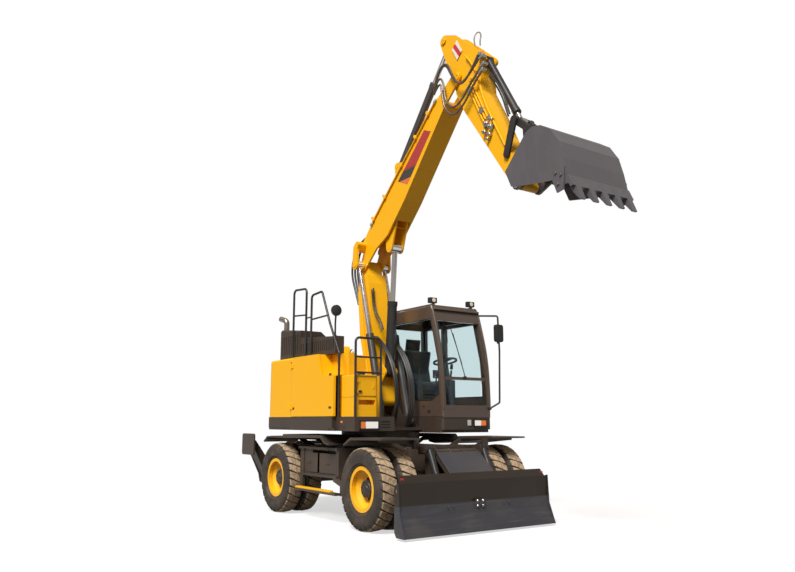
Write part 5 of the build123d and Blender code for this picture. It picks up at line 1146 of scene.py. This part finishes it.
class EXCAVATOR_OT_arm_details(bpy.types.Operator):
    """Add pin plates, weld seams, signs without words, hook and bucket bolts"""
    bl_idname = "excavator.arm_details"
    bl_label = "Arm details"

    def execute(self, context):
        # Each body's pins: place, plate radius, and half the width between the plates' seats
        for body, material, pins in (
                ("upper_boom", "yellow_paint", ((KNEE, 0.072, 0.179), (ELBOW, 0.070, 0.165))),
                ("stick", "yellow_paint", ((BUCKET_CYL_BASE, 0.050, 0.130), (STICK_EYE, 0.052, 0.130))),
                ("bucket", "zinc", ((TIP, 0.056, 0.206),))):
            bm = bmesh.new()
            for s in (-1, 1):
                for (x, z), radius, y in pins:
                    drum(bm, (x, s * (y - 0.004), z), (x, s * (y + 0.010), z), radius, 28, None, 0.003)
                    for a in [tau * k / 3 + 0.4 for k in range(3)]:
                        foot = (x + 0.6 * radius * cos(a), s * (y + 0.009), z + 0.6 * radius * sin(a))
                        hexagon(bm, foot, (0, s, 0), 0.009, 0.008)
            piece(f"{body}_pin_plates", bm, material, "chrome_rod", body, smooth=30)
        self.signs()
        self.seams()
        self.bucket()
        return {"FINISHED"}

    def signs(self):
        """The long sign on each boom side and the striped diamond on each stick side, no words."""
        sign = [(0.712, 5.030), (0.960, 4.918), (1.552, 5.570), (1.390, 5.640)]
        (x, z), (a, b, c) = DIAMOND, (0.115, 0.155, 0.050)
        diamond, gap = [(x, z - b), (x + a, z - c), (x, z + b), (x - a, z + c)], 0.0005
        for side, s in SIDES.items():
            for name, outline, half, material, body in (
                    ("boom_sign", sign, BOOM_SIDE, "boom_sign", "upper_boom"),
                    ("stick_diamond", diamond, STICK_SIDE, "warning_stripes", "stick")):
                bm = made((prism, level(s * (half + gap), outline), (0, s * SIGN_T, 0)))
                piece(f"{name}_{side}", bm, material, "yellow_paint", body, bevel=0.001)

    def seams(self):
        """Weld seams across the boom's underside, and the hook at the stick's top."""
        half = BOOM_SIDE - 0.004
        piece("boom_seams", made(*[(drum, at(KNEE, ELBOW, u, v, -half), at(KNEE, ELBOW, u, v, half), 0.006, 8)
                                   for u, v in ((0.92, -0.2125), (1.95, -0.154))]),
              "yellow_paint", "yellow_paint", "upper_boom")
        hook = [(2.435 + 0.075 * cos(a), 0.0, 6.700 + 0.085 * sin(a)) for a in
                [radians(d) for d in range(215, -50, -33)]]
        piece("stick_hook", made((tube, [(2.385, 0.0, 6.585), *hook, (2.490, 0.0, 6.560)], 0.010, 5)),
              "chrome", "chrome_rod", "stick", recalc=False)

    def bucket(self):
        """Side cutter bolts and tooth pins of the bucket."""
        bm = bmesh.new()
        (x, z), cutter_y = TIP, 0.530
        for s in (-1, 1):
            for dx, dz in ((0.955, -0.195), (1.030, -0.235), (0.985, -0.330)):
                hexagon(bm, (x + dx, s * cutter_y, z + dz), (0, s, 0), 0.016, 0.016)
        for y in [-0.430 + 0.215 * k for k in range(5)]:
            for s in (-1, 1):
                drum(bm, *[(x + 1.128, y + s * out, z - 0.330) for out in (0.036, 0.046)], 0.013, 12)
        piece("bucket_bolts", bm, "worn_steel", "bucket_steel", "bucket")


# Stage

class EXCAVATOR_OT_stage(bpy.types.Operator):
    """Set the pale floor, the soft light and the camera"""
    bl_idname = "excavator.stage"
    bl_label = "Stage"

    def execute(self, context):
        stage = context.scene.excavator_stage
        self.floor()
        self.light(stage)
        self.camera(context, stage)
        context.scene.view_settings.view_transform = "Standard"
        return {"FINISHED"}

    def floor(self):
        """A wide round floor, white far off, that keeps the shadow near the machine."""
        bm = bmesh.new()
        bmesh.ops.create_circle(bm, cap_ends=True, segments=96, radius=70.0)
        mesh = bpy.data.meshes.new("floor")
        bm.to_mesh(mesh)
        bm.free()
        floor = bpy.data.objects.new("floor", mesh)
        bpy.context.scene.collection.objects.link(floor)
        tree, shader, vector = new_material("studio_floor")
        far = new_node(tree, "ShaderNodeVectorMath", {0: vector}, operation="LENGTH").outputs["Value"]
        seen = tree.nodes.new("ShaderNodeLightPath").outputs
        gloss = maths(tree, seen["Is Glossy Ray"], 0.35)
        direct = maths(tree, maths(tree, seen["Is Camera Ray"], gloss, "MAXIMUM"),
                       seen["Is Transmission Ray"], "MAXIMUM")
        shade = mix_colour(tree, direct, (0.10, 0.10, 0.10, 1), (0.97, 0.97, 0.97, 1))
        feed(tree, shader, {"Base Color": shade, "Roughness": 0.9})
        white = new_node(tree, "ShaderNodeEmission", {"Color": (1, 1, 1, 1)}).outputs["Emission"]
        factor = maths(tree, ramp(tree, far, 3.0, 8.5, 0.62, 1.0), direct)
        feed(tree, tree.nodes["Material Output"],
             {"Surface": mix_shader(tree, factor, shader.outputs["BSDF"], white)})
        mesh.materials.append(finish("studio_floor"))

    def light(self, stage):
        """One soft key from above the right side, and an even pale world."""
        data = bpy.data.lights.new("key_light", "SUN")
        data.energy, data.angle = stage.sun_strength, radians(24)
        data.color = (1.0, 0.975, 0.94)
        key = bpy.data.objects.new("key_light", data)
        key.rotation_euler = Vector((0.36, -0.56, 0.75)).to_track_quat("Z", "Y").to_euler()
        bpy.context.scene.collection.objects.link(key)
        world = bpy.data.worlds.new("studio")
        bpy.context.scene.world = world
        world.use_nodes = True
        tree = world.node_tree
        fill = tree.nodes["Background"]
        feed(tree, fill, {"Color": (1.0, 0.93, 0.84, 1), "Strength": stage.sky_strength})
        plain = new_node(tree, "ShaderNodeBackground", {"Color": (1, 1, 1, 1)})
        seen = tree.nodes.new("ShaderNodeLightPath").outputs
        direct = maths(tree, seen["Is Camera Ray"], seen["Is Transmission Ray"], "MAXIMUM")
        backdrop = mix_shader(tree, direct, fill.outputs["Background"], plain.outputs["Background"])
        feed(tree, tree.nodes["World Output"], {"Surface": backdrop})

    def camera(self, context, stage):
        """The photograph's view: where the camera stood, its aim and its lens."""
        image_width, focal_pixels, shift_pixels = 795, 739.84, 1.3
        data = bpy.data.cameras.new("camera")
        data.sensor_width = 36.0
        data.lens = focal_pixels * data.sensor_width / image_width
        data.shift_y = shift_pixels / image_width
        data.clip_end = 200.0
        camera = bpy.data.objects.new("camera", data)
        yaw, pitch = radians(145.25), radians(10.16)
        aim = Vector((cos(yaw) * cos(pitch), sin(yaw) * cos(pitch), sin(pitch)))
        camera.location = (9.714, -6.421, stage.camera_height)
        camera.rotation_euler = aim.to_track_quat("-Z", "Y").to_euler()
        context.scene.collection.objects.link(camera)
        context.scene.camera = camera


SETTINGS = {"excavator_paint": ExcavatorPaint, "excavator_tread": ExcavatorTread,
            "excavator_fittings": ExcavatorFittings, "excavator_stage": ExcavatorStage}
STEPS = [EXCAVATOR_OT_stage, EXCAVATOR_OT_finishes, EXCAVATOR_OT_tyres, EXCAVATOR_OT_hubs,
         EXCAVATOR_OT_cab_glass, EXCAVATOR_OT_cab_inside, EXCAVATOR_OT_cab_outside, EXCAVATOR_OT_lamps,
         EXCAVATOR_OT_body_details, EXCAVATOR_OT_undercarriage, EXCAVATOR_OT_blade_details,
         EXCAVATOR_OT_arm_lines, EXCAVATOR_OT_arm_details]


class EXCAVATOR_PT_panel(bpy.types.Panel):
    """Lists the steps and settings in the sidebar"""
    bl_idname = "EXCAVATOR_PT_panel"
    bl_label = "Wheeled excavator"
    bl_space_type = "VIEW_3D"
    bl_region_type = "UI"
    bl_category = "Excavator"

    def draw(self, context):
        for label, group in SETTINGS.items():
            part = self.layout.box()
            for name in group.__annotations__:
                part.prop(getattr(context.scene, label), name)
        for step in STEPS:
            self.layout.operator(step.bl_idname)


def register():
    for kind in (*SETTINGS.values(), *STEPS, EXCAVATOR_PT_panel):
        bpy.utils.register_class(kind)
    for label, group in SETTINGS.items():
        setattr(bpy.types.Scene, label, bpy.props.PointerProperty(type=group))


def unregister():
    for label in SETTINGS:
        delattr(bpy.types.Scene, label)
    for kind in (EXCAVATOR_PT_panel, *STEPS[::-1], *list(SETTINGS.values())[::-1]):
        bpy.utils.unregister_class(kind)


def main():
    register()
    for step in STEPS:
        family, action = step.bl_idname.split(".")
        getattr(getattr(bpy.ops, family), action)()


if __name__ == "__main__":
    main()
